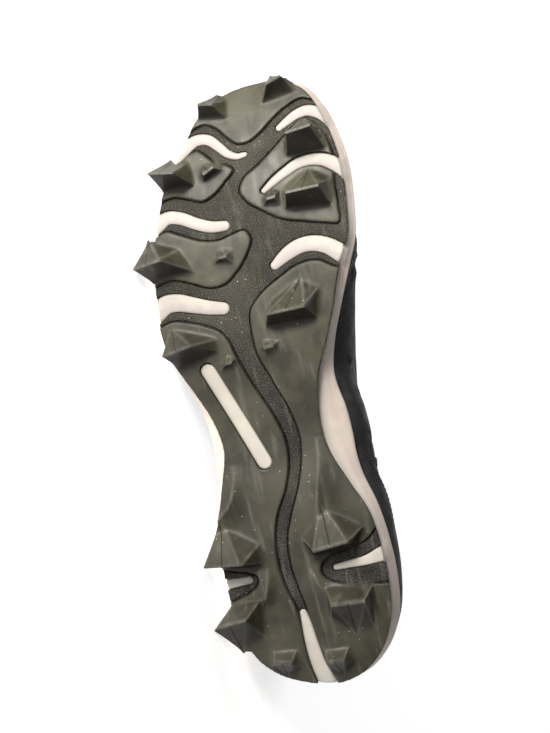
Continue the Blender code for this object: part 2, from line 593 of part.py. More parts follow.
def rim_rings():
    """The plate's edge, and the midsole's rim outside it, as loops that run side by side."""
    table = np.array(PLATE_EDGE)
    rows = np.column_stack([place(table[:, :2]), table[:, 2] * WAIST_FLARE])
    knots = chord_knots(rows[:, :2], True)
    at = np.arange(RIM_POINTS) * knots[-1] / RIM_POINTS
    ring = glide(knots[:-1], rows, at, period=knots[-1])
    edge = ring[:, :2]
    return edge, edge + outward(edge) * ring[:, 2:]


def make_outsole(material):
    """Moulded rubber outsole: a web with slots, raised pods and studs, in one piece."""
    edge = smooth_outline(place(np.array(PLATE_EDGE)[:, :2]), OUTLINE_STEP)
    slots, pods, bays = slot_shapes(0.0), pod_shapes(), bay_shapes()
    studs = [stud_facets(stud) for stud in STUDS]
    stud_rims = [corners[rim] for corners, _, _, rim in studs]
    pod_tops = [pod - outward(pod) * POD_SLOPE for pod in pods]
    bay_tops = [bay + outward(bay) * POD_SLOPE for bay in bays]
    lines = [(corners[f[i]], corners[f[(i + 1) % 3]])
             for corners, _, facets, _ in studs for f in facets for i in range(3)]

    def keep(centres):
        solid = depth(edge, centres) > 0.0
        for rim in stud_rims:
            solid |= depth(rim, centres) > 0.0
        for slot in slots:
            solid &= depth(slot, centres) < 0.0
        return solid

    grid = grid_points(edge, GRID_STEP, GRID_SPACE, [*slots, *pods, *bays, *stud_rims])
    flat, faces = triangulate([edge, *slots, *pods, *pod_tops, *bays, *bay_tops], lines,
                              grid, keep)
    on_pod = np.max([depth(pod, flat) for pod in pods], axis=0)
    off_bay = -np.max([depth(bay, flat) for bay in bays], axis=0)
    raised = np.clip(np.minimum(on_pod, off_bay) / POD_SLOPE, 0.0, 1.0) * POD_RAISE
    web = web_level(flat)
    low = web - np.maximum(raised, stud_height(studs, flat))
    past_edge = np.clip(-depth(edge, flat), 0.0, None)
    high = np.maximum(web + WEB_THICKNESS - LUG_UNDERCUT * past_edge,
                      low + LUG_LEAST * WEB_THICKNESS)
    high = np.where(past_edge > ON_EDGE, high, web + WEB_THICKNESS)
    return slab("outsole", flat, faces, low, high, material)


def insole_outline():
    rim = rim_rings()[1]
    return rim - outward(rim) * (RIM_LEDGE + WALL + CLEARANCE)


def bed_triangles():
    """Triangles of the midsole's top, which hold the insole's outline as edges."""
    rim = rim_rings()[1]
    inner, insole = rim - outward(rim) * RIM_ROUND, insole_outline()
    return triangulate([inner, insole], [], grid_points(insole, GRID_STEP, BED_GRID_SPACE),
                       lambda c: depth(inner, c) > 0.0, merge=FINE_MERGE)


def make_midsole(material):
    """Foam midsole: cupped rim, sloping sides, and ribs that fill the outsole's slots."""
    edge, rim = rim_rings()
    foot = edge - outward(edge) * RIM_ROUND / 2.0
    inner = rim - outward(rim) * RIM_ROUND
    bulge = foot * (1.0 - SIDE_OUT) + rim * SIDE_OUT + outward(rim) * RIM_ROUND * SIDE_FULL
    ribs = slot_shapes(-GAP - POD_SLOPE / 2.0, inside=foot)
    rib_ends = [rib - outward(rib) * POD_SLOPE for rib in ribs]
    grid = grid_points(foot, GRID_STEP, GRID_SPACE, ribs)
    flat, faces = triangulate([foot, *ribs, *rib_ends], [], grid,
                              lambda c: depth(foot, c) > 0.0, merge=FINE_MERGE)
    into_rib = np.max([depth(rib, flat) for rib in ribs], axis=0)
    drop = np.clip(into_rib / POD_SLOPE, 0.0, 1.0) * (WEB_THICKNESS + GAP - RIB_RECESS)
    under = np.column_stack([flat, web_level(flat) + WEB_THICKNESS + GAP - drop])
    top, top_faces = bed_triangles()
    bed = np.column_stack([top, bed_level(top)])
    low_w, high_w = web_level(foot) + WEB_THICKNESS + GAP, bed_level(rim)
    rings = [np.column_stack([foot, low_w]),
             np.column_stack([bulge, low_w + (high_w - low_w) * SIDE_LEVEL]),
             np.column_stack([rim, high_w - RIM_ROUND * SIDE_FULL]),
             np.column_stack([inner, bed_level(inner)])]
    points = np.concatenate([under, bed, *rings])
    first = len(under) + len(bed)
    n = RIM_POINTS
    walls = [(first + k * n + i, first + k * n + (i + 1) % n,
              first + (k + 1) * n + (i + 1) % n, first + (k + 1) * n + i)
             for k in range(3) for i in range(n)]
    all_faces = [*faces[:, ::-1].tolist(), *(top_faces + len(under)).tolist(), *walls]
    return closed_mesh("midsole", points, all_faces, material)


class Upper:
    """The wall of the upper as a function of the way round the sole and the height up it."""

    def __init__(self):
        edge, rim = rim_rings()
        self.foot = rim - outward(rim) * RIM_LEDGE
        self.knots = chord_knots(self.foot, True)
        rows, at = [], []
        toe = int(np.argmax(self.foot[:, 0]))
        share = self.foot[:, 0] / LENGTH
        for side, a_foot, *row in WALL_LINES:
            if side == "heel":
                where = 0.0
            elif side == "toe":
                where = self.knots[toe]
            elif side == "outer":
                where = np.interp(a_foot, share[:toe], self.knots[:toe])
            else:
                where = np.interp(-a_foot, -share[toe:], self.knots[toe:-1])
            at.append(where)
            rows.append(row)
        self.at = np.array(at)
        self.rows = np.array(rows)
        self.round = self.knots[-1]
        self.toe_at = self.knots[toe]

    def outer(self, ways, heights):
        """Points of the outer surface, for each way round and each height share."""
        ways = np.asarray(ways, float)
        foot = glide(self.knots[:-1], self.foot, ways, period=self.round)
        a, b, rise, lean, low_rise, out, high_drop = glide(
            self.at, self.rows, ways, period=self.round).T
        top = np.column_stack([a * LENGTH, b * width_at(a)])
        start = np.column_stack([foot, bed_level(foot) + GAP])
        end = np.column_stack([top, bed_level(top) + rise * COLLAR_HEIGHT])
        facing = glide(self.knots[:-1], outward(self.foot), ways, period=self.round)
        away = foot - top + facing * SIDE_PULL * BALL_WIDTH
        away /= np.linalg.norm(away, axis=1)[:, None]
        away = np.column_stack([away, np.zeros(len(away))])
        up = np.array([0.0, 0.0, 1.0])
        first = start + away * (lean * BALL_WIDTH)[:, None] + up * (
            low_rise * COLLAR_HEIGHT)[:, None]
        second = end + away * (out * BALL_WIDTH)[:, None] - up * (
            high_drop * COLLAR_HEIGHT)[:, None]
        q = np.asarray(heights, float)[None, :, None]
        return (start[:, None] * (1 - q) ** 3 + 3 * first[:, None] * q * (1 - q) ** 2
                + 3 * second[:, None] * q * q * (1 - q) + end[:, None] * q ** 3)

    def normals(self, ways, heights):
        """Outward normals, from the surface a little to each side."""
        ways, heights = np.asarray(ways, float), np.asarray(heights, float)
        along = self.outer(ways + NORMAL_STEP, heights) - self.outer(ways - NORMAL_STEP, heights)
        above = np.clip(heights + NORMAL_LIFT, 0, 1)
        below = np.clip(heights - NORMAL_LIFT, 0, 1)
        rise = self.outer(ways, above) - self.outer(ways, below)
        out = np.cross(along, rise)
        return out / np.linalg.norm(out, axis=2)[:, :, None]

    def skin(self, ways, heights, offset):
        """The surface moved out by offset, which may differ from point to point."""
        offset = np.broadcast_to(offset, (len(ways), len(heights)))
        return self.outer(ways, heights) + self.normals(ways, heights) * offset[:, :, None]

    def grid(self):
        """Even ways round, with one moved onto each of the throat's two top corners."""
        ways = np.arange(RIM_POINTS) * self.round / RIM_POINTS
        for corner in self.at[[THROAT_OUTER_BACK, THROAT_INNER_BACK]]:
            ways[np.argmin(np.abs(ways - corner))] = corner
        return ways, np.array(HEIGHTS_UP_WALL)

    def collar_share(self, ways):
        """1 along the padded collar round the heel, 0 at the throat and the toe."""
        a = glide(self.at, self.rows[:, :1], ways, period=self.round)[:, 0]
        return np.clip((COLLAR_FRONT - a) / COLLAR_FADE + 0.5, 0.0, 1.0)

    def wall(self, ways, heights):
        """Thickness of the wall, with the collar's padding."""
        pad = np.interp(heights, *zip(*PAD_OVER_HEIGHT))
        return WALL + COLLAR_PAD * self.collar_share(ways)[:, None] * pad[None, :]


def tube_grid(outer, inner, closed_round):
    """Points and faces of a wall between two grids, closed at its edges."""
    n, m = outer.shape[:2]
    points = np.concatenate([outer.reshape(-1, 3), inner.reshape(-1, 3)])
    shift = n * m
    faces = []
    for i in range(n if closed_round else n - 1):
        k = (i + 1) % n
        for j in range(m - 1):
            a, b, c, d = i * m + j, k * m + j, k * m + j + 1, i * m + j + 1
            faces += [(a, b, c, d), (d + shift, c + shift, b + shift, a + shift)]
        faces += [(i * m, i * m + shift, k * m + shift, k * m),
                  (i * m + m - 1, k * m + m - 1, k * m + m - 1 + shift, i * m + m - 1 + shift)]
    if not closed_round:
        for j in range(m - 1):
            last = (n - 1) * m
            faces += [(j, j + 1, j + 1 + shift, j + shift),
                      (last + j + 1, last + j, last + j + shift, last + j + 1 + shift)]
    return points, faces


def make_upper(form, material):
    ways, heights = form.grid()
    outer = form.outer(ways, heights)
    inner = form.skin(ways, heights, -form.wall(ways, heights))
    inner[:, 0, 2] = outer[:, 0, 2]
    points, faces = tube_grid(outer, inner, True)
    return closed_mesh("upper", points, faces, material)


def make_eyestay(form, material):
    """Band round the throat, on the upper's own grid of ways and heights."""
    ways, heights = form.grid()
    first, last = form.at[THROAT_OUTER_BACK], form.at[THROAT_INNER_BACK]
    ways = ways[(ways >= first) & (ways <= last)]
    heights = heights[EYESTAY_ROWS:]
    points, faces = tube_grid(form.skin(ways, heights, GAP + OVERLAY),
                              form.skin(ways, heights, GAP), False)
    return closed_mesh("eyestay", points, faces, material)


def make_heel_counter(form, material):
    """Overlay round the heel: a shell over the whole wall, cut by the prism of its edge."""
    ways, heights = form.grid()
    heights = heights[1:]
    points, faces = tube_grid(form.skin(ways, heights, GAP + OVERLAY),
                              form.skin(ways, heights, GAP), True)
    shell = closed_mesh("heel_counter", points, faces, material)
    bed = bed_level(np.array([[COUNTER_BED_AT * LENGTH, 0.0]]))[0]
    table = np.array(COUNTER_EDGE)
    knots = chord_knots(table, False)
    curve = glide(knots, table, np.linspace(0.0, knots[-1], COUNTER_STEPS))
    edge = [(a * LENGTH, bed + rise * COLLAR_HEIGHT)
            for a, rise in [*curve, (curve[-1, 0], curve[0, 1])]]
    n = len(edge)
    points = [(u, v, w) for v in (-BALL_WIDTH, BALL_WIDTH) for u, w in edge]
    faces = [tuple(range(n)), tuple(range(2 * n - 1, n - 1, -1))]
    faces += [(i, i + n, (i + 1) % n + n, (i + 1) % n) for i in range(n)]
    prism = closed_mesh("counter_prism", points, faces, material)
    prism.hide_render = True
    prism.display_type = "WIRE"
    cut = shell.modifiers.new("edge", "BOOLEAN")
    cut.operation = "INTERSECT"
    cut.solver = "EXACT"
    cut.object = prism
    seen = bpy.context.evaluated_depsgraph_get()
    mesh = bpy.data.meshes.new_from_object(shell.evaluated_get(seen))
    shell.modifiers.clear()
    settle(mesh, material)
    shell.data = mesh
    bpy.data.objects.remove(prism)
    return shell


def throat_pairs(form, count):
    """Ways round to opposite places on the two sides of the throat, front to back."""
    outer_back, inner_back = form.at[THROAT_OUTER_BACK], form.at[THROAT_INNER_BACK]
    outer_front, inner_front = form.at[THROAT_OUTER_FRONT], form.at[THROAT_INNER_FRONT]
    t = np.linspace(0.0, 1.0, count)
    return outer_front + (outer_back - outer_front) * t, inner_front + (
        inner_back - inner_front) * t


def make_tongue(form, material):
    """Padded tongue under the throat, from below the vamp's edge to above the top bar."""
    outer_ways, inner_ways = throat_pairs(form, TONGUE_ROWS)
    up = np.array([0.0, 0.0, 1.0])
    below = WALL + CLEARANCE

    def beneath(way, k):
        back = k / (TONGUE_ROWS - 1)
        low = TONGUE_TUCK + (TONGUE_TUCK_TOP - TONGUE_TUCK) * back ** 2
        side = np.linspace(low, 1.0, TONGUE_SIDE_POINTS)
        return form.skin([way], side, -below - TONGUE_EASE * back ** 2)[0]

    front = np.linspace(outer_ways[0] + TONGUE_INSET, inner_ways[0] - TONGUE_INSET,
                        len(TONGUE_FULLNESS))
    sections = [form.skin(front, [TONGUE_TUCK], -below)[:, 0]]
    for k, (outer_way, inner_way) in enumerate(zip(outer_ways, inner_ways)):
        left, right = beneath(outer_way, k), beneath(inner_way, k)
        span = right[-1] - left[-1]
        arch = np.linalg.norm(span) * TONGUE_ARCH * min(1.0, k / 3.0) - (
            TONGUE_DIP if k < 2 else 0.0)
        across = [left[-1] + span * s + up * arch * 4 * s * (1 - s) for s in ACROSS_SHARES]
        sections.append(np.array([*left, *across, *right[::-1]]))
    sections = np.array(sections)
    rise = (sections[-1] - sections[-3]).mean(axis=0)
    rise /= np.linalg.norm(rise)
    last = sections[-1]
    middle = last.mean(axis=0)
    for length, narrow in TONGUE_TIP:
        grown = middle + (last - middle) * narrow + rise * length * TONGUE_OVER_TOP
        sections = np.concatenate([sections, grown[None]])
    along = np.gradient(sections, axis=0)
    across = np.gradient(sections, axis=1)
    down = np.cross(along, across)
    down /= np.linalg.norm(down, axis=2)[:, :, None]
    if down[:, :, 2].mean() > 0:
        down = -down
    lower = sections + down * (TONGUE_THICKNESS * np.array(TONGUE_FULLNESS))[None, :, None]
    points, faces = tube_grid(sections, lower, False)
    return closed_mesh("tongue", points, faces, material)


def make_lace_bars(form, material):
    """Flat lace lying straight across the throat, one bar for each pair of eyelets."""
    outer_ways, inner_ways = throat_pairs(form, LACE_BARS + 2)
    lift = GAP + OVERLAY + LACE_LIFT
    for bar in range(LACE_BARS):
        k = bar + 1
        line = []
        for ways, order in ((outer_ways, 1), (inner_ways, -1)):
            side = form.skin([ways[k]], LACE_HEIGHTS, lift)[0]
            line.append(side[::order])
        left, right = line
        span = right[0] - left[-1]
        arch = [left[-1] + span * s + np.array([0, 0, 1.0]) * (
            LACE_ARCH * np.linalg.norm(span) * 4 * s * (1 - s)) for s in ACROSS_SHARES]
        line = np.array([*left, *arch, *right])
        along = np.gradient(line, axis=0)
        ahead = np.array(LACE_FACING)
        side = ahead - along * ((along @ ahead) / (along * along).sum(axis=1))[:, None]
        side /= np.linalg.norm(side, axis=1)[:, None]
        up = np.cross(along, side)
        up /= np.linalg.norm(up, axis=1)[:, None]
        if up[:, 2].mean() < 0:
            up = -up
        half = side * LACE_WIDTH / 2
        thick = up * LACE_THICKNESS
        ring = np.stack([line - half, line + half, line + half + thick, line - half + thick], 1)
        n = len(line)
        faces = [(i * 4 + j, i * 4 + (j + 1) % 4, (i + 1) * 4 + (j + 1) % 4, (i + 1) * 4 + j)
                 for i in range(n - 1) for j in range(4)]
        faces += [(3, 2, 1, 0), tuple((n - 1) * 4 + j for j in range(4))]
        closed_mesh(f"lace_bar_{bar + 1}", ring.reshape(-1, 3), faces, material)


def make_insole(material):
    """Loose foam insole on the midsole, inside the foot of the upper."""
    flat, faces = bed_triangles()
    outline = insole_outline()
    faces = faces[depth(outline, flat[faces].mean(axis=1)) > 0.0]
    used, faces = np.unique(faces, return_inverse=True)
    low = bed_level(flat[used]) + GAP
    return slab("insole", flat[used], faces.reshape(-1, 3), low, low + INSOLE_THICKNESS,
                material)


def set_down(pieces, densities):
    """Finds the face of the shoe's convex hull, on the outer side, that lies under its centre of
    mass, or else comes nearest to it, and the turn that lays it down with the toe towards -X."""
    weight, moment, hull = 0.0, np.zeros(3), bmesh.new()
    for piece, density in zip(pieces, densities):
        points = np.array([v.co for v in piece.data.vertices])
        corners = points[np.array([p.vertices for p in piece.data.polygons])]
        volumes = np.einsum("ij,ij->i", corners[:, 0], np.cross(corners[:, 1], corners[:, 2])) / 6
        weight += density * volumes.sum()
        moment += density * (volumes[:, None] * corners.sum(axis=1) / 4).sum(axis=0)
        for p in points:
            hull.verts.new(p)
    centre = Vector(moment / weight)
    made = bmesh.ops.convex_hull(hull, input=hull.verts)
    faces = [g for g in made["geom"] if isinstance(g, bmesh.types.BMFace)]
    found = []
    for face in faces:
        normal = face.normal
        if normal.dot(centre - face.calc_center_median()) > 0:
            normal = -normal
        if normal.y > -SIDEWAYS:
            continue
        reach = (face.verts[0].co - centre).dot(normal)
        corners = [v.co - centre for v in face.verts]
        sides = [a.cross(b).dot(normal) for a, b in zip(corners, corners[1:] + corners[:1])]
        missed = max(0.0, -min(sides)) if sum(sides) > 0 else max(0.0, max(sides))
        found.append((missed, reach, tuple(normal), tuple(face.verts[0].co)))
    hull.free()
    normal, point = [Vector(values) for values in min(found)[2:]]
    turn = normal.rotation_difference(Vector((0, 0, -1))).to_matrix()
    toe = turn @ Vector((1, 0, 0))
    turn = Matrix.Rotation(math.pi - math.atan2(toe.y, toe.x), 3, "Z") @ turn
    return normal, point, turn


def flatten(piece, normal, point):
    """Cuts the least bit off where the piece would touch the floor, so that it lies flat."""
    made = bmesh.new()
    made.from_mesh(piece.data)
    cut = bmesh.ops.bisect_plane(made, geom=[*made.verts, *made.edges, *made.faces],
                                 plane_co=point, plane_no=normal, clear_outer=True)
    edges = [g for g in cut["geom_cut"] if isinstance(g, bmesh.types.BMEdge)]
    if edges:
        bmesh.ops.edgeloop_fill(made, edges=edges)
        made.to_mesh(piece.data)
        settle(piece.data, piece.data.materials[0])
    made.free()


def main():
    for old in list(bpy.data.objects):
        bpy.data.objects.remove(old)
    rubber, foam, leather, overlay, lining, lace = [
        make_material(name, *finish) for name, finish in FINISHES.items()]
    make_outsole(rubber)
    make_midsole(foam)
    form = Upper()
    make_insole(lining)
    make_upper(form, leather)
    make_tongue(form, lining)
    make_lace_bars(form, lace)
    make_eyestay(form, overlay)
    make_heel_counter(form, overlay)

    pieces = [o for o in bpy.data.objects if o.type == "MESH"]
    densities = [DENSITIES.get(piece.name, UPPER_DENSITY) for piece in pieces]
    normal, point, turn = set_down(pieces, densities)
    point = point - normal * FLOOR_FLAT
    for piece in pieces:
        flatten(piece, normal, point)
    points = np.array([turn @ v.co for o in pieces for v in o.data.vertices])
    low, high = points.min(axis=0), points.max(axis=0)
    stand = bpy.data.objects.new("lying_shoe", None)
    bpy.context.scene.collection.objects.link(stand)
    stand.matrix_world = Matrix.Translation(
        (-(low[0] + high[0]) / 2, -(low[1] + high[1]) / 2, -low[2])) @ turn.to_4x4()
    for piece in pieces:
        piece.parent = stand
    bpy.context.view_layer.update()


main()
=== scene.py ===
"""Looks of a low baseball cleat with moulded rubber studs, lying on its outer side, sole to the
camera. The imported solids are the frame, and each section below dresses one of its pieces."""

import json
import math

import bmesh
import bpy
import numpy as np
from mathutils import Euler, Matrix, Vector
from mathutils.geometry import delaunay_2d_cdt
from mathutils.kdtree import KDTree

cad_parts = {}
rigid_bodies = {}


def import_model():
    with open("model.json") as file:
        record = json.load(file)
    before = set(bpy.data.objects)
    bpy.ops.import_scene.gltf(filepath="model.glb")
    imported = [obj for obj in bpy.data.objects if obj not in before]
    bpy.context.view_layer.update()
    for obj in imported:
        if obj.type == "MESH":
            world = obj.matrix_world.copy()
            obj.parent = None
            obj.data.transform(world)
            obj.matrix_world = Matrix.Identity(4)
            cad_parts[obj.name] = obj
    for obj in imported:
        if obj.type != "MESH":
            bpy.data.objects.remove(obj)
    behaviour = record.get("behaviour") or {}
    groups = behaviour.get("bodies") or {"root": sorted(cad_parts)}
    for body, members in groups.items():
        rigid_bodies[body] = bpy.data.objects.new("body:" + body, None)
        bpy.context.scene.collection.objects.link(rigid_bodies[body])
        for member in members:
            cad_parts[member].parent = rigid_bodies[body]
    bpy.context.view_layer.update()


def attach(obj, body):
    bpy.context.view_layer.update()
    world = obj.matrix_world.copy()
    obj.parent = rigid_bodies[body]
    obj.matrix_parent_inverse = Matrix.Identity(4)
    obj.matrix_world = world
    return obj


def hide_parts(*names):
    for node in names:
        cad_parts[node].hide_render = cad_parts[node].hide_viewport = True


for left_over in list(bpy.data.objects):
    bpy.data.objects.remove(left_over)
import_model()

# The shoe as it lies
# Pieces are drawn in the shoe's own frame: u from heel to toe, v across towards the inner side,
# w up from the ground under the studs. The shoe lies on its outer side, toe to -X, sole to -Y.
LIE_TURN = (math.radians(-82.00031), math.radians(-175.91905), 0.0)
LIE_PLACE = (0.146362, -0.0577406, 0.0460286)
LIE = Matrix.Translation(LIE_PLACE) @ Euler(LIE_TURN).to_matrix().to_4x4()


def lay(points):
    """Points of the shoe's frame as they lie, with what would sink into the floor pressed flat."""
    turned = np.asarray(points, float).reshape(-1, 3) @ np.array(LIE.to_3x3()).T + np.array(LIE_PLACE)
    turned[:, 2] = np.maximum(turned[:, 2], 0.0)
    return turned


# Camera
# It looks straight at the sole and a little round its inner side, and is rolled with the shoe,
# so that the toe is up and leans to the left. It stands above the floor.
SIDE_LOOK = math.radians(8.5)
TOE_LEAN = math.radians(9.0)
CAMERA_DISTANCE = 0.68
VIEW_HEIGHT = 0.350
LOOK_AT = Vector((0.1560, 0.000, 0.004))

toe_way = Vector((1, 0, 0))
side_way = Vector((0, math.cos(SIDE_LOOK), math.sin(SIDE_LOOK)))
picture_right = side_way * math.cos(TOE_LEAN) - toe_way * math.sin(TOE_LEAN)
picture_up = toe_way * math.cos(TOE_LEAN) + side_way * math.sin(TOE_LEAN)
towards_camera = picture_right.cross(picture_up)
stand = Matrix((picture_right, picture_up, towards_camera)).transposed().to_4x4()
stand.translation = LOOK_AT + towards_camera * CAMERA_DISTANCE
camera = bpy.data.objects.new("camera", bpy.data.cameras.new("camera"))
camera.data.sensor_width = 36.0
camera.data.lens = camera.data.sensor_width * CAMERA_DISTANCE / VIEW_HEIGHT
camera.data.clip_start = 0.05
camera.matrix_world = LIE @ stand
bpy.context.scene.collection.objects.link(camera)
bpy.context.scene.camera = camera

# Studio
# Pale paper that lies under the shoe and curves up behind it, where it fades to dark above the
# picture, so that the black upper mirrors little of it. A soft lamp beyond the toe leaves what
# faces the heel dark, and a wide lamp overhead keeps the paper even.
PAPER_FRONT, PAPER_BEND, PAPER_TOP, PAPER_HALF = -3.0, 0.55, 1.8, 3.0
PAPER_ROUND = 0.45
PAPER_FADES = (0.20, 0.27)
KEY_FROM = Vector((0.57, -0.05, -0.80))


def lamp(name, shines_at, stands_at, size, power, colour):
    """A square area lamp that faces a place; both places as the shoe lies."""
    light = bpy.data.lights.new(name, "AREA")
    light.size = size
    light.energy = power
    light.color = colour
    body = bpy.data.objects.new(name, light)
    body.location = stands_at
    body.rotation_euler = (shines_at - stands_at).to_track_quat("-Z", "Y").to_euler()
    bpy.context.scene.collection.objects.link(body)


middle_of_sole = LIE @ LOOK_AT
lamp("key", middle_of_sole, LIE @ (LOOK_AT + KEY_FROM.normalized() * 0.85), 0.20, 10.5,
     (1.0, 0.97, 0.92))
lamp("overhead", Vector((0.0, 0.1, 0.0)), Vector((-0.3, 0.80, 1.35)), 0.9, 8.0, (0.95, 0.97, 1.0))
bpy.context.scene.view_settings.view_transform = "Standard"
air = bpy.data.worlds.new("studio")
air.use_nodes = True
air.node_tree.nodes["Background"].inputs["Color"].default_value = (1.0, 1.0, 1.0, 1.0)
air.node_tree.nodes["Background"].inputs["Strength"].default_value = 0.10
bpy.context.scene.world = air

bend = [(PAPER_BEND + PAPER_ROUND * math.sin(t), PAPER_ROUND * (1 - math.cos(t)))
        for t in np.linspace(0.0, math.pi / 2, 24)]
side_line = [(PAPER_FRONT, 0.0), *bend, (PAPER_BEND + PAPER_ROUND, PAPER_TOP)]
paper_mesh = bpy.data.meshes.new("paper")
paper_mesh.from_pydata([(x, y, z) for y, z in side_line for x in (-PAPER_HALF, PAPER_HALF)], [],
                       [(2 * i, 2 * i + 1, 2 * i + 3, 2 * i + 2) for i in range(len(side_line) - 1)])
paper_mesh.shade_smooth()
paper = bpy.data.objects.new("paper", paper_mesh)
bpy.context.scene.collection.objects.link(paper)
pale_paper = bpy.data.materials.new("pale_paper")
pale_paper.use_nodes = True
paper_shader = pale_paper.node_tree.nodes["Principled BSDF"]
paper_shader.inputs["Roughness"].default_value = 0.95
paper_shader.inputs["Emission Strength"].default_value = 0.72
paper_nodes = pale_paper.node_tree.nodes
paper_height = paper_nodes.new("ShaderNodeSeparateXYZ")
paper_links = pale_paper.node_tree.links
paper_links.new(paper_nodes.new("ShaderNodeTexCoord").outputs["Object"], paper_height.inputs[0])
for socket, low, high in (("Base Color", 0.86, 0.05), ("Emission Color", 1.0, 0.03)):
    fade = paper_nodes.new("ShaderNodeMapRange")
    fade.inputs["From Min"].default_value, fade.inputs["From Max"].default_value = PAPER_FADES
    fade.inputs["To Min"].default_value, fade.inputs["To Max"].default_value = low, high
    paper_links.new(paper_height.outputs[2], fade.inputs["Value"])
    paper_links.new(fade.outputs[0], paper_shader.inputs[socket])
paper_mesh.materials.append(pale_paper)

# Outsole
# Black moulded rubber plate in one piece: a thin web with open slots, smooth raised pods inside
# fine grooves, and sharp faceted studs. It is cemented under the foam midsole.
LENGTH = 0.300
BALL_WIDTH = 0.100
HEEL_WIDTH = 0.082
STUD_HEIGHT = 0.0135
TOE_SPRING = 0.021
HEEL_RISE = 0.005
ARCH_RISE = 0.003
EDGE_RISE = 0.0012
WEB_THICKNESS = 0.0024
POD_RAISE = 0.0012
POD_ROUND = 0.0009
GROOVE_DEPTH = 0.0007
GROOVE_HALF = 0.00034
GROOVE_PLACE = 0.00042
STUD_TIP = 0.0012
STUD_FILLET = 0.0024
STUD_HARD_FROM = 0.0032
STUD_HOLLOW = 1.34
NUB_MOST = 0.0055
NUB_FILLET = 0.0008
NUB_HARD_FROM = 0.0012
CREASE_HALF = 0.00016
CREASE_DEPTH = 0.00022
LUG_UNDERCUT = 1.25
SLOT_WIDTH = 0.008
EDGE_ROUND = 0.0005
OUTLINE_STEP = 0.0009
GRID_STEP = 0.0013
STUD_GRID_STEP = 0.0008
HEEL_ENDS, BALL_STARTS = 0.30, 0.60
TOE_FROM, HEEL_FROM, ARCH_FROM, ARCH_LONG = 0.66, 0.10, 0.24, 0.34
CREST_FALL = 1.8
EDGE_RISE_MOST = 1.5
HEX_ROWS = 0.866
TINY = 1e-18
FILLET_RINGS = ((0.33, 6), (0.66, 10), (1.0, 14))
# Spacing of the points in the plan
CREASE_RINGS = (-2.4, -1.2, 1.2, 2.4)
POD_RINGS = (-0.00042, 0.0001, -0.0002, -0.00064, 0.00032, -0.0009, 0.0006, 0.00095, -0.00125)
EDGE_RINGS = (0.00018, 0.0005, 0.001)
RING_SPACE, LINE_SPACE, FINE_SPACE, COARSE_SPACE = 0.00026, 0.00016, 0.0005, 0.0009
PLAN_MARGIN, STUD_MARGIN, CREST_MARGIN = 0.012, 0.0022, 0.0020
FAR, NEAR = 0.004, 0.003
# Where pods, studs, edges and the pale lines of wear and painted highlight run into each other
SWEEP_FADE = 0.0015
STUD_CLEAR = 0.0015
JOIN = 0.0012
PALE_LINE_WIDTH = 0.0006
# The crease down each tall stud's front is painted dark, as shade in its fine groove.
CREASE_REACH, CREASE_GROWS, CREASE_SHADE = 0.002, 0.001, 0.8
RIDGE_GROWS, CREST_WEAR_AND_HIGHLIGHT = 0.002, 0.7
THINNEST = 0.6
# Painted shade on the studs' heel-facing backs, spreading onto the pod behind their feet.
BACK_STEP = 0.0004
BACK_SLOPE, BACK_SPAN = 0.35, 1.1
PAINTED_BACK_SHADE = ((0.0, 1.0), (0.0010, 0.85), (0.0020, 0.6), (0.0032, 0.35))

# Edge of the outsole plate from the heel along the outer side to the toe and back along the
# inner side. Flare is how far the foam midsole's rim stands outside it, a share of WAIST_FLARE.
PLATE_EDGE = [
    # a, b, flare
    (-0.004, 0.02, 0.15), (0.004, -0.12, 0.15), (0.02, -0.26, 0.15), (0.05, -0.385, 0.15),
    (0.095, -0.465, 0.12), (0.15, -0.505, 0.1), (0.22, -0.52, 0.1), (0.285, -0.5, 0.15),
    (0.34, -0.445, 0.35), (0.4, -0.385, 0.6), (0.45, -0.402, 0.45), (0.5, -0.456, 0.2),
    (0.56, -0.525, 0.08), (0.6, -0.548, 0.06), (0.66, -0.545, 0.06), (0.72, -0.525, 0.06),
    (0.78, -0.485, 0.06), (0.84, -0.42, 0.06), (0.9, -0.315, 0.08), (0.95, -0.205, 0.08),
    (0.974, -0.1, 0.08), (0.986, 0.06, 0.08), (0.984, 0.2, 0.08), (0.964, 0.31, 0.1),
    (0.93, 0.372, 0.15), (0.88, 0.42, 0.2), (0.83, 0.448, 0.2), (0.77, 0.45, 0.18),
    (0.71, 0.43, 0.18), (0.66, 0.365, 0.25), (0.6, 0.31, 0.12), (0.55, 0.257, 0.15),
    (0.5, 0.2, 0.45), (0.44, 0.176, 0.95), (0.38, 0.205, 0.95), (0.32, 0.305, 0.45),
    (0.27, 0.395, 0.22), (0.21, 0.438, 0.18), (0.15, 0.45, 0.18), (0.09, 0.425, 0.18),
    (0.045, 0.35, 0.15), (0.01, 0.215, 0.15),
]

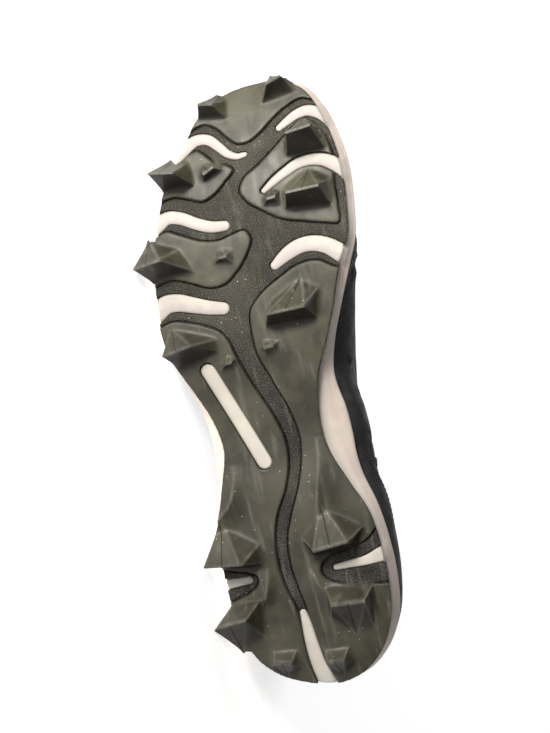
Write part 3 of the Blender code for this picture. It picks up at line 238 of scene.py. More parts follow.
# Slots in the outsole, where ribs of the midsole come through. Each runs from its mouth at the
# edge to its round end; width is a share of SLOT_WIDTH.
SLOTS = {
    # name: rows of a, b, width
    "toe_outer": [
        (0.88, -0.375, 0.95), (0.896, -0.31, 0.9), (0.908, -0.245, 0.82), (0.906, -0.19, 0.76),
        (0.891, -0.138, 0.68), (0.876, -0.095, 0.6), (0.869, -0.05, 0.5), (0.87, -0.012, 0.42),
    ],
    "ball_outer": [
        (0.764, -0.555, 1.05), (0.777, -0.49, 1.0), (0.787, -0.435, 0.92), (0.783, -0.37, 0.88),
        (0.77, -0.295, 0.84), (0.76, -0.215, 0.8), (0.7585, -0.155, 0.72),
    ],
    "waist_outer": [
        (0.626, -0.62, 1.4), (0.637, -0.555, 1.32), (0.647, -0.5, 1.24), (0.647, -0.445, 1.18),
        (0.64, -0.375, 1.08), (0.631, -0.29, 0.96), (0.626, -0.222, 0.86),
    ],
    "toe_inner": [
        (0.9, 0.435, 0.86), (0.918, 0.375, 0.82), (0.9255, 0.32, 0.78), (0.922, 0.265, 0.7),
        (0.913, 0.215, 0.62), (0.904, 0.172, 0.48),
    ],
    "ball_inner": [
        (0.806, 0.495, 1.05), (0.827, 0.425, 0.96), (0.839, 0.365, 0.9), (0.8425, 0.305, 0.82),
        (0.84, 0.245, 0.76), (0.83, 0.18, 0.7), (0.817, 0.112, 0.6), (0.8045, 0.06, 0.44),
    ],
    "waist_inner": [
        (0.664, 0.455, 1.3), (0.683, 0.388, 1.2), (0.698, 0.33, 1.1), (0.706, 0.265, 1.05),
        (0.706, 0.205, 1.02), (0.699, 0.145, 0.96), (0.689, 0.095, 0.8), (0.681, 0.062, 0.64),
    ],
    "heel_inner": [
        (0.2, 0.53, 1.4), (0.196, 0.43, 1.0), (0.19, 0.34, 0.7), (0.188, 0.25, 0.58),
        (0.1855, 0.155, 0.46),
    ],
    "heel_outer": [
        (0.178, -0.6, 0.78), (0.1805, -0.5, 0.7), (0.182, -0.42, 0.6), (0.183, -0.37, 0.54),
    ],
    "heel_back": [
        (-0.035, 0.005, 1.3), (0.0, -0.01, 1.22), (0.03, -0.04, 1.02), (0.07, -0.062, 0.86),
        (0.1, -0.072, 0.7), (0.12, -0.082, 0.5),
    ],
}

# Plain straight window under the arch, round at both ends: a, b of its ends, share of width
ARCH_WINDOW = [(0.53, -0.355, 1.0), (0.37, -0.17, 1.0)]

# Serpentine channel that parts the two rear pods: a, b of its outer side, b of its inner side
CHANNEL = [
    (0.575, -0.225, -0.097), (0.55, -0.202, -0.092), (0.5, -0.15, -0.039), (0.44, -0.068, 0.033),
    (0.4, -0.028, 0.059), (0.36, -0.032, 0.046), (0.32, -0.075, 0.006), (0.28, -0.146, -0.055),
    (0.24, -0.18, -0.1), (0.2, -0.18, -0.105), (0.16, -0.155, -0.08), (0.125, -0.112, -0.052),
]

# Raised smooth pods of the outsole. Where a pod runs to the edge its outline goes on past it.
PODS = {
    "toe": [
        (0.918, -0.3), (0.93, -0.235), (0.932, -0.195), (0.922, -0.135), (0.903, -0.085),
        (0.89, -0.04), (0.889, 0.005), (0.9, 0.07), (0.92, 0.14), (0.94, 0.23), (0.948, 0.3),
        (0.942, 0.36), (0.945, 0.45), (1.03, 0.3), (1.045, 0.0), (1.02, -0.26),
    ],
    "front_outer": [
        (0.806, -0.5), (0.817, -0.43), (0.819, -0.385), (0.811, -0.31), (0.804, -0.24),
        (0.811, -0.19), (0.83, -0.125), (0.849, -0.078), (0.857, -0.11), (0.86, -0.15),
        (0.876, -0.198), (0.889, -0.245), (0.884, -0.3), (0.872, -0.39), (0.9, -0.52),
        (0.84, -0.58),
    ],
    "ball_outer": [
        (0.668, -0.6), (0.682, -0.51), (0.685, -0.455), (0.674, -0.35), (0.663, -0.27),
        (0.664, -0.2), (0.682, -0.125), (0.71, -0.06), (0.731, -0.035), (0.745, -0.06),
        (0.743, -0.11), (0.736, -0.19), (0.739, -0.27), (0.755, -0.38), (0.764, -0.44),
        (0.756, -0.53), (0.78, -0.66), (0.7, -0.7),
    ],
    "ball_inner": [
        (0.913, 0.29), (0.905, 0.335), (0.885, 0.378), (0.85, 0.413), (0.8, 0.406), (0.76, 0.406),
        (0.733, 0.398), (0.736, 0.34), (0.745, 0.23), (0.753, 0.14), (0.772, 0.045),
        (0.795, -0.035), (0.811, -0.057), (0.826, -0.038), (0.85, 0.058), (0.88, 0.168),
        (0.904, 0.252),
    ],
}
REAR_OUTER_FRONT = [
    (0.602, -0.64), (0.61, -0.555), (0.617, -0.48), (0.611, -0.395), (0.6, -0.31), (0.59, -0.258),
]
REAR_OUTER_BACK = [
    (0.07, -0.085), (-0.03, -0.05), (-0.06, -0.3), (0.03, -0.62), (0.15, -0.75), (0.3, -0.75),
    (0.45, -0.7),
]
REAR_INNER_FRONT = [
    (0.65, 0.45), (0.664, 0.345), (0.678, 0.27), (0.677, 0.185), (0.66, 0.075), (0.636, -0.035),
    (0.615, -0.088), (0.595, -0.098),
]
REAR_INNER_BACK = [
    (0.07, -0.04), (-0.03, 0.0), (-0.07, 0.25), (0.03, 0.6), (0.15, 0.7), (0.3, 0.65), (0.43, 0.48),
    (0.55, 0.45),
]

# Bays at web level around the two heel slots
BAYS = {
    "heel_outer": [
        (0.212, -0.7), (0.207, -0.54), (0.199, -0.42), (0.195, -0.358), (0.187, -0.316),
        (0.176, -0.316), (0.166, -0.355), (0.153, -0.47), (0.146, -0.56), (0.14, -0.7),
    ],
    "heel_inner": [
        (0.262, 0.6), (0.24, 0.425), (0.224, 0.36), (0.214, 0.255), (0.207, 0.145), (0.196, 0.082),
        (0.182, 0.066), (0.17, 0.088), (0.16, 0.165), (0.153, 0.29), (0.15, 0.43), (0.146, 0.6),
    ],
}

# Low crests that sweep from the front of a heel stud along its pod: how wide each falls away on
# the outer and the inner side in metres, and rows of a, b, height in metres.
SWEEPS = [
    # outer side, inner side, rows
    (0.0035, 0.011, [(0.27, -0.56, 0.003), (0.288, -0.495, 0.003), (0.305, -0.43, 0.0027),
                     (0.322, -0.395, 0.0023), (0.345, -0.372, 0.0015), (0.372, -0.36, 0.0)]),
    (0.009, 0.015, [(0.27, 0.09, 0.002), (0.297, 0.106, 0.0022), (0.325, 0.124, 0.002),
                    (0.357, 0.144, 0.0014), (0.4, 0.15, 0.0)]),
    (0.01, 0.006, [(0.14, 0.09, 0.0016), (0.165, 0.04, 0.0014), (0.19, 0.0, 0.0)]),
    (0.012, 0.006, [(0.15, -0.29, 0.0022), (0.172, -0.262, 0.0016), (0.2, -0.25, 0.0)]),
]

# Studs. The peak is a ridge from the outer to the inner end; from the point, where the front
# starts, two facets climb to it, and the back drops steeply to its two feet. The flanks spread
# to the sides. An outer flank of None lets the stud stand out past the edge of the plate.
STUDS = [
    # name, point, ridge outer, ridge inner, back outer, back inner, flank outer, flank inner,
    # reach as a share of the height to the ground
    ("toe_outer", (0.98, -0.118), (0.964, -0.2), (0.96, -0.13),
     (0.938, -0.228), (0.93, -0.065), None, (0.97, -0.068), 0.36),
    ("toe_inner", (0.996, 0.16), (0.977, 0.148), (0.988, 0.228),
     (0.944, 0.095), (0.956, 0.285), (0.972, 0.115), (0.976, 0.27), 0.36),
    ("front_outer", (0.885, -0.375), (0.858, -0.465), (0.852, -0.342),
     (0.83, -0.435), (0.829, -0.27), None, (0.876, -0.29), 0.92),
    ("front_inner", (0.911, 0.29), (0.884, 0.225), (0.89, 0.345),
     (0.849, 0.19), (0.852, 0.395), (0.878, 0.205), (0.886, 0.372), 0.88),
    ("ball_outer", (0.757, -0.545), (0.709, -0.605), (0.717, -0.47),
     (0.684, -0.545), (0.69, -0.315), None, (0.735, -0.385), 1.0),
    ("ball_inner", (0.828, 0.29), (0.79, 0.185), (0.793, 0.345),
     (0.764, 0.15), (0.758, 0.385), (0.802, 0.16), (0.806, 0.39), 1.0),
    ("waist_outer", (0.609, -0.5), (0.564, -0.535), (0.574, -0.385),
     (0.536, -0.485), (0.556, -0.265), None, (0.58, -0.255), 1.0),
    ("waist_inner", (0.658, 0.18), (0.605, 0.005), (0.609, 0.19),
     (0.582, -0.035), (0.584, 0.235), (0.622, 0.01), (0.64, 0.27), 1.0),
    ("heel_front_outer", (0.288, -0.49), (0.219, -0.6), (0.215, -0.38),
     (0.21, -0.52), (0.206, -0.25), None, (0.246, -0.255), 1.0),
    ("heel_front_inner", (0.293, 0.115), (0.223, 0.055), (0.231, 0.265),
     (0.207, 0.03), (0.218, 0.31), (0.24, -0.025), (0.248, 0.37), 1.0),
    ("heel_rear_outer", (0.066, -0.475), (0.117, -0.595), (0.126, -0.4),
     (0.149, -0.495), (0.158, -0.29), None, (0.082, -0.315), 1.0),
    ("heel_rear_inner", (0.07, 0.215), (0.131, 0.11), (0.131, 0.31),
     (0.163, 0.06), (0.154, 0.365), (0.1, 0.075), (0.075, 0.33), 1.0),
    ("heel_tip_outer", (0.018, -0.235), (0.047, -0.29), (0.043, -0.185),
     (0.068, -0.295), (0.068, -0.14), (0.038, -0.318), (0.028, -0.115), 0.5),
    ("heel_tip_inner", (0.008, 0.1), (0.036, 0.018), (0.037, 0.125),
     (0.062, 0.022), (0.062, 0.165), (0.022, 0.045), (0.025, 0.195), 0.5),
    ("nub_front", (0.864, -0.228), (0.847, -0.22), (0.857, -0.168),
     (0.83, -0.232), (0.848, -0.104), (0.85, -0.246), (0.86, -0.135), 0.3),
    ("nub_ball_outer", (0.727, -0.195), (0.708, -0.196), (0.71, -0.158),
     (0.698, -0.248), (0.692, -0.122), (0.71, -0.242), (0.722, -0.122), 0.3),
    ("nub_ball_inner", (0.807, 0.1), (0.79, 0.078), (0.792, 0.12),
     (0.776, 0.038), (0.772, 0.142), (0.795, 0.045), (0.802, 0.14), 0.3),
    ("nub_waist_outer", (0.552, -0.24), (0.537, -0.252), (0.54, -0.215),
     (0.524, -0.3), (0.522, -0.205), (0.54, -0.285), (0.542, -0.192), 0.28),
    ("nub_waist_inner", (0.57, -0.05), (0.554, -0.048), (0.556, 0.0),
     (0.534, -0.055), (0.536, 0.005), (0.556, -0.078), (0.562, 0.038), 0.28),
]


def capped(values):
    """Values held between 0 and 1."""
    return np.clip(values, 0.0, 1.0)


def eased(t):
    """A share that starts and ends gently."""
    return t * t * (3.0 - 2.0 * t)


def bell(values):
    """1 at 0, falling off smoothly on both sides."""
    return np.exp(-values ** 2)


def unit(vectors):
    """Vectors made one long."""
    return vectors / np.linalg.norm(vectors, axis=-1, keepdims=True)


def boxed(points, corners, reach):
    """Which points lie in the box round some corners, made larger by reach."""
    low, high = np.min(corners, axis=0) - reach, np.max(corners, axis=0) + reach
    return ((points > low) & (points < high)).all(axis=1)


def width_at(a):
    """Width of the sole at a share of its length: the heel's, easing into the ball's."""
    t = capped((np.asarray(a, float) - HEEL_ENDS) / (BALL_STARTS - HEEL_ENDS))
    return HEEL_WIDTH + (BALL_WIDTH - HEEL_WIDTH) * eased(t)


def place(points):
    """Shares (a, b) of length and width as metres (u, v)."""
    points = np.asarray(points, float)
    return np.stack([points[:, 0] * LENGTH, points[:, 1] * width_at(points[:, 0])], axis=1)


def web_level(uv):
    """Height of the underside of the web above the ground."""
    a = uv[:, 0] / LENGTH
    toe = np.clip((a - TOE_FROM) / (1.0 - TOE_FROM), 0.0, None) ** 2
    heel = np.clip((HEEL_FROM - a) / HEEL_FROM, 0.0, None) ** 2
    arch = np.sin(np.pi * capped((a - ARCH_FROM) / ARCH_LONG)) ** 2
    edge = (2.0 * uv[:, 1] / width_at(a)) ** 4
    rise = TOE_SPRING * toe + HEEL_RISE * heel + ARCH_RISE * arch
    return STUD_HEIGHT + rise + EDGE_RISE * np.clip(edge, 0.0, EDGE_RISE_MOST)


def glide(knots, values, at, period=None):
    """A smooth curve through values at knots, read at the places at; period closes it."""
    knots, values, at = np.asarray(knots, float), np.asarray(values, float), np.asarray(at, float)
    if period:
        knots = np.concatenate([knots[-2:] - period, knots, knots[:2] + period])
        values = np.concatenate([values[-2:], values, values[:2]])
        at = (at - knots[2]) % period + knots[2]
    slope = np.gradient(values, knots, axis=0, edge_order=1)
    i = np.clip(np.searchsorted(knots, at, side="right") - 1, 0, len(knots) - 2)
    span = knots[i + 1] - knots[i]
    t = ((at - knots[i]) / span)[:, None]
    span = span[:, None]
    return (values[i] * (1 + 2 * t) * (1 - t) ** 2 + slope[i] * span * t * (1 - t) ** 2
            + values[i + 1] * t * t * (3 - 2 * t) + slope[i + 1] * span * t * t * (t - 1))


def chord_knots(points, closed):
    """Lengths along a line of points up to each of them, and round to the first if closed."""
    ends = np.roll(points, -1, axis=0) if closed else points[1:]
    steps = np.linalg.norm(ends - points[:len(ends)], axis=1)
    return np.concatenate([[0.0], np.cumsum(steps)])


def smooth_line(rows, closed, count=None):
    """A smooth line through rows of points: count points, or points about OUTLINE_STEP apart."""
    knots = chord_knots(rows[:, :2], closed)
    count = count or max(3, round(knots[-1] / OUTLINE_STEP)) + (not closed)
    if closed:
        return glide(knots[:-1], rows, np.arange(count) * knots[-1] / count, period=knots[-1])
    return glide(knots, rows, np.linspace(0.0, knots[-1], count))


def outward(loop):
    """Unit normals of a closed loop of points in the plane, pointing out of it."""
    along = unit(np.roll(loop, -1, axis=0) - np.roll(loop, 1, axis=0))
    area = np.sum(loop[:, 0] * np.roll(loop[:, 1], -1) - loop[:, 1] * np.roll(loop[:, 0], -1))
    return np.stack([along[:, 1], -along[:, 0]], axis=1) * np.sign(area)


def depth(loop, points, reach=None):
    """How deep each point lies inside a closed loop; negative outside. Points further than
    reach outside its box aren't measured and count as reach outside."""
    if reach is not None:
        close = boxed(points, loop, reach)
        found = np.full(len(points), -reach)
        found[close] = depth(loop, points[close])
        return found
    nearest = np.full(len(points), np.inf)
    crossings = np.zeros(len(points), int)
    pu, pv = points[:, 0], points[:, 1]
    for p, q in zip(loop, np.roll(loop, -1, axis=0)):
        du, dv = q - p
        t = capped(((pu - p[0]) * du + (pv - p[1]) * dv) / (du * du + dv * dv + TINY))
        gap_u, gap_v = pu - p[0] - t * du, pv - p[1] - t * dv
        nearest = np.minimum(nearest, gap_u * gap_u + gap_v * gap_v)
        between = (p[0] > pu) != (q[0] > pu)
        if between.any():
            cut = p[1] + (pu - p[0]) * dv / (du if du else TINY)
            crossings += between & (pv < cut)
    return np.where(crossings % 2 == 1, np.sqrt(nearest), -np.sqrt(nearest))


def near_lines(lines, points, reach):
    """Distance of each point from the nearest of some straight lines, at most reach."""
    nearest = np.full(len(points), reach)
    for p, q in lines:
        close = np.flatnonzero(boxed(points, (p, q), reach))
        line = q - p
        d = points[close] - p
        t = capped(d @ line / (line @ line + TINY))
        away = np.linalg.norm(d - t[:, None] * line, axis=1)
        nearest[close] = np.minimum(nearest[close], away)
    return nearest


def slot_outline(rows, grow, both_round=False):
    """Outline of a slot along its centre line, made wider by grow on each side."""
    rows = np.asarray(rows, float)
    centre = np.column_stack([place(rows[:, :2]), rows[:, 2] * SLOT_WIDTH / 2.0 + grow])
    line = smooth_line(centre, False)
    along = unit(np.gradient(line[:, :2], axis=0))
    side = np.stack([-along[:, 1], along[:, 0]], axis=1)
    left, right = line[:, :2] + side * line[:, 2:], line[:, :2] - side * line[:, 2:]

    def cap(i, sign):
        turns = np.linspace(math.pi / 2, -math.pi / 2, 15)[1:-1] * sign
        return [line[i, :2] + line[i, 2] * (sign * math.cos(t) * along[i] + math.sin(t) * side[i])
                for t in turns]

    start = cap(0, -1) if both_round else []
    return np.array([*left, *cap(-1, 1), *right[::-1], *start])


def slot_shapes(grow):
    """The window and all slots."""
    return [slot_outline(ARCH_WINDOW, grow, both_round=True),
            *(slot_outline(rows, grow) for rows in SLOTS.values())]


def pod_shapes():
    """Outlines of the pods, and of the two rear pods on either side of the channel."""
    channel = np.array(CHANNEL)
    outer_side, inner_side = channel[:, [0, 1]].tolist(), channel[:, [0, 2]].tolist()
    outlines = [*PODS.values(), REAR_OUTER_FRONT + outer_side + REAR_OUTER_BACK,
                REAR_INNER_FRONT + inner_side + REAR_INNER_BACK]
    return [smooth_line(place(rows), True) for rows in outlines]


def stud_facets(stud):
    """The corners of a stud in plan with their heights, its facets, and its sharp ridges."""
    name, point, outer, inner, back_outer, back_inner, flank_outer, flank_inner, reach = stud
    p = dict(zip(("point", "outer", "inner", "back_outer", "back_inner"),
                 place([point, outer, inner, back_outer, back_inner])))
    middle = (p["outer"] + p["inner"]) / 2.0
    back = (p["back_outer"] + p["back_inner"]) / 2.0 - middle
    set_back = back / np.linalg.norm(back) * STUD_TIP
    corners = [p["point"], p["outer"], middle, p["inner"], p["outer"] + set_back,
               middle + set_back, p["inner"] + set_back, p["back_outer"], p["back_inner"],
               place([flank_inner])[0]]
    heights = [0, 1, 1, 1, 1, 1, 1, 0, 0, 0]
    facets = [(0, 1, 2), (0, 2, 3), (1, 4, 5), (1, 5, 2), (2, 5, 6), (2, 6, 3),
              (4, 7, 5), (5, 7, 8), (5, 8, 6), (0, 3, 9), (9, 3, 6), (9, 6, 8)]
    ridges = [(0, 1), (0, 3), (1, 2), (2, 3), (4, 5), (5, 6), (1, 4), (3, 6), (4, 7), (6, 8),
              (3, 9)]
    rim = [0, 9, 8, 7]
    if flank_outer is None:
        facets += [(1, 7, 4)]
        rim += [1]
    else:
        corners.append(place([flank_outer])[0])
        heights.append(0)
        facets += [(0, 10, 1), (10, 4, 1), (10, 7, 4)]
        ridges += [(1, 10)]
        rim += [10]
    tip_level = web_level(middle[None])[0]
    corners = np.array(corners)
    return {"corners": corners, "heights": np.array(heights) * reach * tip_level,
            "facets": facets, "rim": corners[rim],
            "ridges": [(corners[a], corners[b]) for a, b in ridges],
            "crease": (corners[0], corners[2])}


def stud_height(studs, points):
    """Height of the studs' facets over the web at each point. They hang a little hollow between
    foot and ridge, so that they sweep into the pods."""
    height = np.zeros(len(points))
    for stud in studs:
        corners, heights = stud["corners"], stud["heights"]
        close = np.flatnonzero(boxed(points, corners, 1e-5))
        near = points[close]
        here = np.zeros(len(close))
        for facet in stud["facets"]:
            p, q, r = corners[list(facet)]
            whole = (q[0] - p[0]) * (r[1] - p[1]) - (r[0] - p[0]) * (q[1] - p[1])
            if abs(whole) < 1e-12:
                continue
            d = near - p
            s = (d[:, 0] * (r[1] - p[1]) - (r[0] - p[0]) * d[:, 1]) / whole
            t = ((q[0] - p[0]) * d[:, 1] - d[:, 0] * (q[1] - p[1])) / whole
            inside = (s > -1e-4) & (t > -1e-4) & (s + t < 1.0001)
            hp, hq, hr = heights[list(facet)]
            here = np.where(inside, np.maximum(here, hp + s * (hq - hp) + t * (hr - hp)), here)
        top = heights.max()
        height[close] = np.maximum(height[close], top * (here / top) ** STUD_HOLLOW)
    return height


def soft_foot(studs, points, fillet, hard_from):
    """The studs' height with a moulded fillet round their feet and their ridges left sharp."""
    plain = stud_height(studs, points)
    total, weight = plain.copy(), 1.0
    for ring, count in FILLET_RINGS:
        for turn in np.arange(count) * 2 * math.pi / count:
            step = fillet * ring * np.array([math.cos(turn), math.sin(turn)])
            total += stud_height(studs, points + step)
            weight += 1.0
    hard = eased(capped(plain / hard_from))
    return plain * hard + total / weight * (1 - hard)


def sweep_lines():
    """Each sweeping crest as points with heights, and how wide it falls away on either side."""
    for outer_reach, inner_reach, rows in SWEEPS:
        rows = np.array(rows)
        crest = np.column_stack([place(rows[:, :2]), rows[:, 2]])
        yield smooth_line(crest, False, 40), outer_reach, inner_reach


def sweep_height(points):
    """How far the crests raise each point: sharp on top, and hollow down to the pod."""
    raised = np.zeros(len(points))
    for crest, outer_reach, inner_reach in sweep_lines():
        reach = max(outer_reach, inner_reach)
        close = np.flatnonzero(boxed(points, crest[:, :2], reach))
        away = points[close][:, None] - crest[None, :, :2]
        far = np.linalg.norm(away, axis=2)
        nearest = far.argmin(axis=1)
        along = np.gradient(crest[:, :2], axis=0)[nearest]
        off = away[np.arange(len(close)), nearest]
        outer_side = along[:, 0] * off[:, 1] - along[:, 1] * off[:, 0] < 0.0
        far = far.min(axis=1) / np.where(outer_side, outer_reach, inner_reach)
        here = crest[nearest, 2] * capped(1.0 - far) ** CREST_FALL
        raised[close] = np.maximum(raised[close], here)
    return raised


def crowded(points, space):
    """Points without those that share a small square with an earlier one."""
    cells = np.round(points / space).astype(int)
    return points[np.sort(np.unique(cells, axis=0, return_index=True)[1])]


def clear_of(points, others, space):
    """Points that keep their distance from others."""
    tree = KDTree(len(others))
    for i, (u, v) in enumerate(others):
        tree.insert((u, v, 0.0), i)
    tree.balance()
    return points[[tree.find((u, v, 0.0))[2] > space for u, v in points]]


def hex_grid(low, high, step):
    """Points about step apart, each row set between those beside it."""
    us, vs = np.arange(low[0], high[0], step), np.arange(low[1], high[1], step * HEX_ROWS)
    return np.array([(u + (j % 2) * step / 2, v) for j, v in enumerate(vs) for u in us])


def triangulate(loops, lines, points, keep, merge=3e-5):
    """Triangles of the plane that hold the loops and lines as edges, kept where keep says."""
    verts, edges = [], []
    for loop in loops:
        first = len(verts)
        verts += [Vector(p) for p in loop]
        edges += [(first + i, first + (i + 1) % len(loop)) for i in range(len(loop))]
    for line in lines:
        first = len(verts)
        verts += [Vector(p) for p in line]
        edges += [(first + i, first + i + 1) for i in range(len(line) - 1)]
    verts += [Vector(p) for p in points]
    made = delaunay_2d_cdt(verts, edges, [], 0, merge)
    flat = np.array([tuple(v) for v in made[0]])
    faces = np.array([f for f in made[2] if len(f) == 3])
    faces = faces[keep(flat[faces].mean(axis=1))]
    used, faces = np.unique(faces, return_inverse=True)
    return flat[used], faces.reshape(-1, 3)


def cut_line(p, q, step):
    """Points from p to q, about step apart."""
    count = max(1, round(np.linalg.norm(q - p) / step))
    return p + (q - p) * np.linspace(0.0, 1.0, count + 1)[:, None]


def round_over(distance, radius):
    """How far a moulded edge has dropped away at a distance inside it: a quarter circle."""
    t = capped(distance / radius)
    return radius * (1.0 - np.sqrt(capped(1.0 - (1.0 - t) ** 2)))


def boundary_edges(faces):
    """Directed edges that only one triangle has."""
    sides = np.concatenate([faces[:, [0, 1]], faces[:, [1, 2]], faces[:, [2, 0]]])
    known = {(int(a), int(b)) for a, b in sides}
    return [(a, b) for a, b in known if (b, a) not in known]


def tube_faces(rows, count, first=0):
    """Quads between closed rows of count points each, the first row starting at first."""
    return [(first + k * count + i, first + k * count + (i + 1) % count,
             first + (k + 1) * count + (i + 1) % count, first + (k + 1) * count + i)
            for k in range(rows - 1) for i in range(count)]


def laid_mesh(name, points, faces, materials, sharp=35.0, zones=None, uv=None, face_material=None):
    """A closed mesh of points in the shoe's frame, laid as the shoe lies and shaded smooth up
    to sharp degrees. Zones are four shares a point that its material reads; uv is in metres."""
    mesh = bpy.data.meshes.new(name)
    mesh.from_pydata([tuple(p) for p in lay(points)], [], [tuple(int(i) for i in f) for f in faces])
    for material in materials:
        mesh.materials.append(material)
    if face_material is not None:
        mesh.polygons.foreach_set("material_index", np.asarray(face_material, np.int32))
    if zones is not None:
        colour = mesh.attributes.new("zones", "FLOAT_COLOR", "POINT")
        colour.data.foreach_set("color", np.asarray(zones, np.float32).ravel())
    if uv is not None:
        corners = np.empty(len(mesh.loops), np.int32)
        mesh.loops.foreach_get("vertex_index", corners)
        layer = mesh.uv_layers.new(name="surface")
        layer.data.foreach_set("uv", np.asarray(uv, np.float32)[corners].ravel())
    tidy = bmesh.new()
    tidy.from_mesh(mesh)
    bmesh.ops.remove_doubles(tidy, verts=tidy.verts, dist=1e-6)
    bmesh.ops.recalc_face_normals(tidy, faces=tidy.faces)
    tidy.to_mesh(mesh)
    tidy.free()
    mesh.shade_smooth()
    mesh.set_sharp_from_angle(angle=math.radians(sharp))
    piece = bpy.data.objects.new(name, mesh)
    bpy.context.scene.collection.objects.link(piece)
    return piece


plate_edge = smooth_line(place(np.array(PLATE_EDGE)[:, :2]), True)
slots = slot_shapes(0.0)
pods = pod_shapes()
bays = [smooth_line(place(rows), True) for rows in BAYS.values()]
studs = [stud_facets(stud) for stud in STUDS]


def in_rubber(points):
    """Whether points are in the plate or in a stud that stands out past its edge."""
    solid = depth(plate_edge, points) > 0.0
    for stud in studs:
        solid |= depth(stud["rim"], points, NEAR) > 0.0
    for slot in slots:
        solid &= depth(slot, points, NEAR) < 0.0
    return solid


def outsole_plan():
    """Plan of the outsole's underside: fine along grooves, edges and ridges, coarser between."""
    ridge_lines = [cut_line(p, q, STUD_GRID_STEP) for stud in studs for p, q in stud["ridges"]]
    crease_lines = [cut_line(*stud["crease"], STUD_GRID_STEP / 2) for stud in studs]
    beside_creases = []
    for line in crease_lines:
        across = line[-1] - line[0]
        across = np.array([-across[1], across[0]]) / np.linalg.norm(across)
        beside_creases += [line[1:-1] + across * s * CREASE_HALF for s in CREASE_RINGS]
    lines = ridge_lines + crease_lines
    fixed = np.concatenate([plate_edge, *slots, *lines])
    rings = [loop + outward(loop) * -offset for offset in POD_RINGS for loop in pods + bays]
    rings += [loop + outward(loop) * sign * offset for offset in EDGE_RINGS
              for sign, loops in ((-1, [plate_edge]), (1, slots)) for loop in loops]
    rings = crowded(np.concatenate([*beside_creases, *rings]), RING_SPACE)
    rings = clear_of(rings, fixed, LINE_SPACE)
    low, high = plate_edge.min(axis=0) - PLAN_MARGIN, plate_edge.max(axis=0) + PLAN_MARGIN
    fine = hex_grid(low, high, STUD_GRID_STEP)
    by_stud = np.max([depth(stud["rim"], fine, FAR) for stud in studs], axis=0)
    crests = [pair for crest, _, _ in sweep_lines() for pair in zip(crest[:-1, :2], crest[1:, :2])]
    by_crest = -near_lines(crests, fine, NEAR)
    fine = fine[(by_stud > -STUD_MARGIN) | (by_crest > -CREST_MARGIN)]
    fine = clear_of(fine, np.concatenate([fixed, rings]), FINE_SPACE)
    coarse = hex_grid(low, high, GRID_STEP)
    coarse = clear_of(coarse, np.concatenate([fixed, rings, fine]), COARSE_SPACE)
    loose = np.concatenate([rings, fine, coarse])
    return triangulate([plate_edge, *slots], lines, loose[in_rubber(loose)], in_rubber)


def wear_and_highlight_line(lines, points):
    """1 on a line, painted pale for wear and as a highlight on its edge, and 0 beside it."""
    return bell(near_lines(lines, points, NEAR) / PALE_LINE_WIDTH)


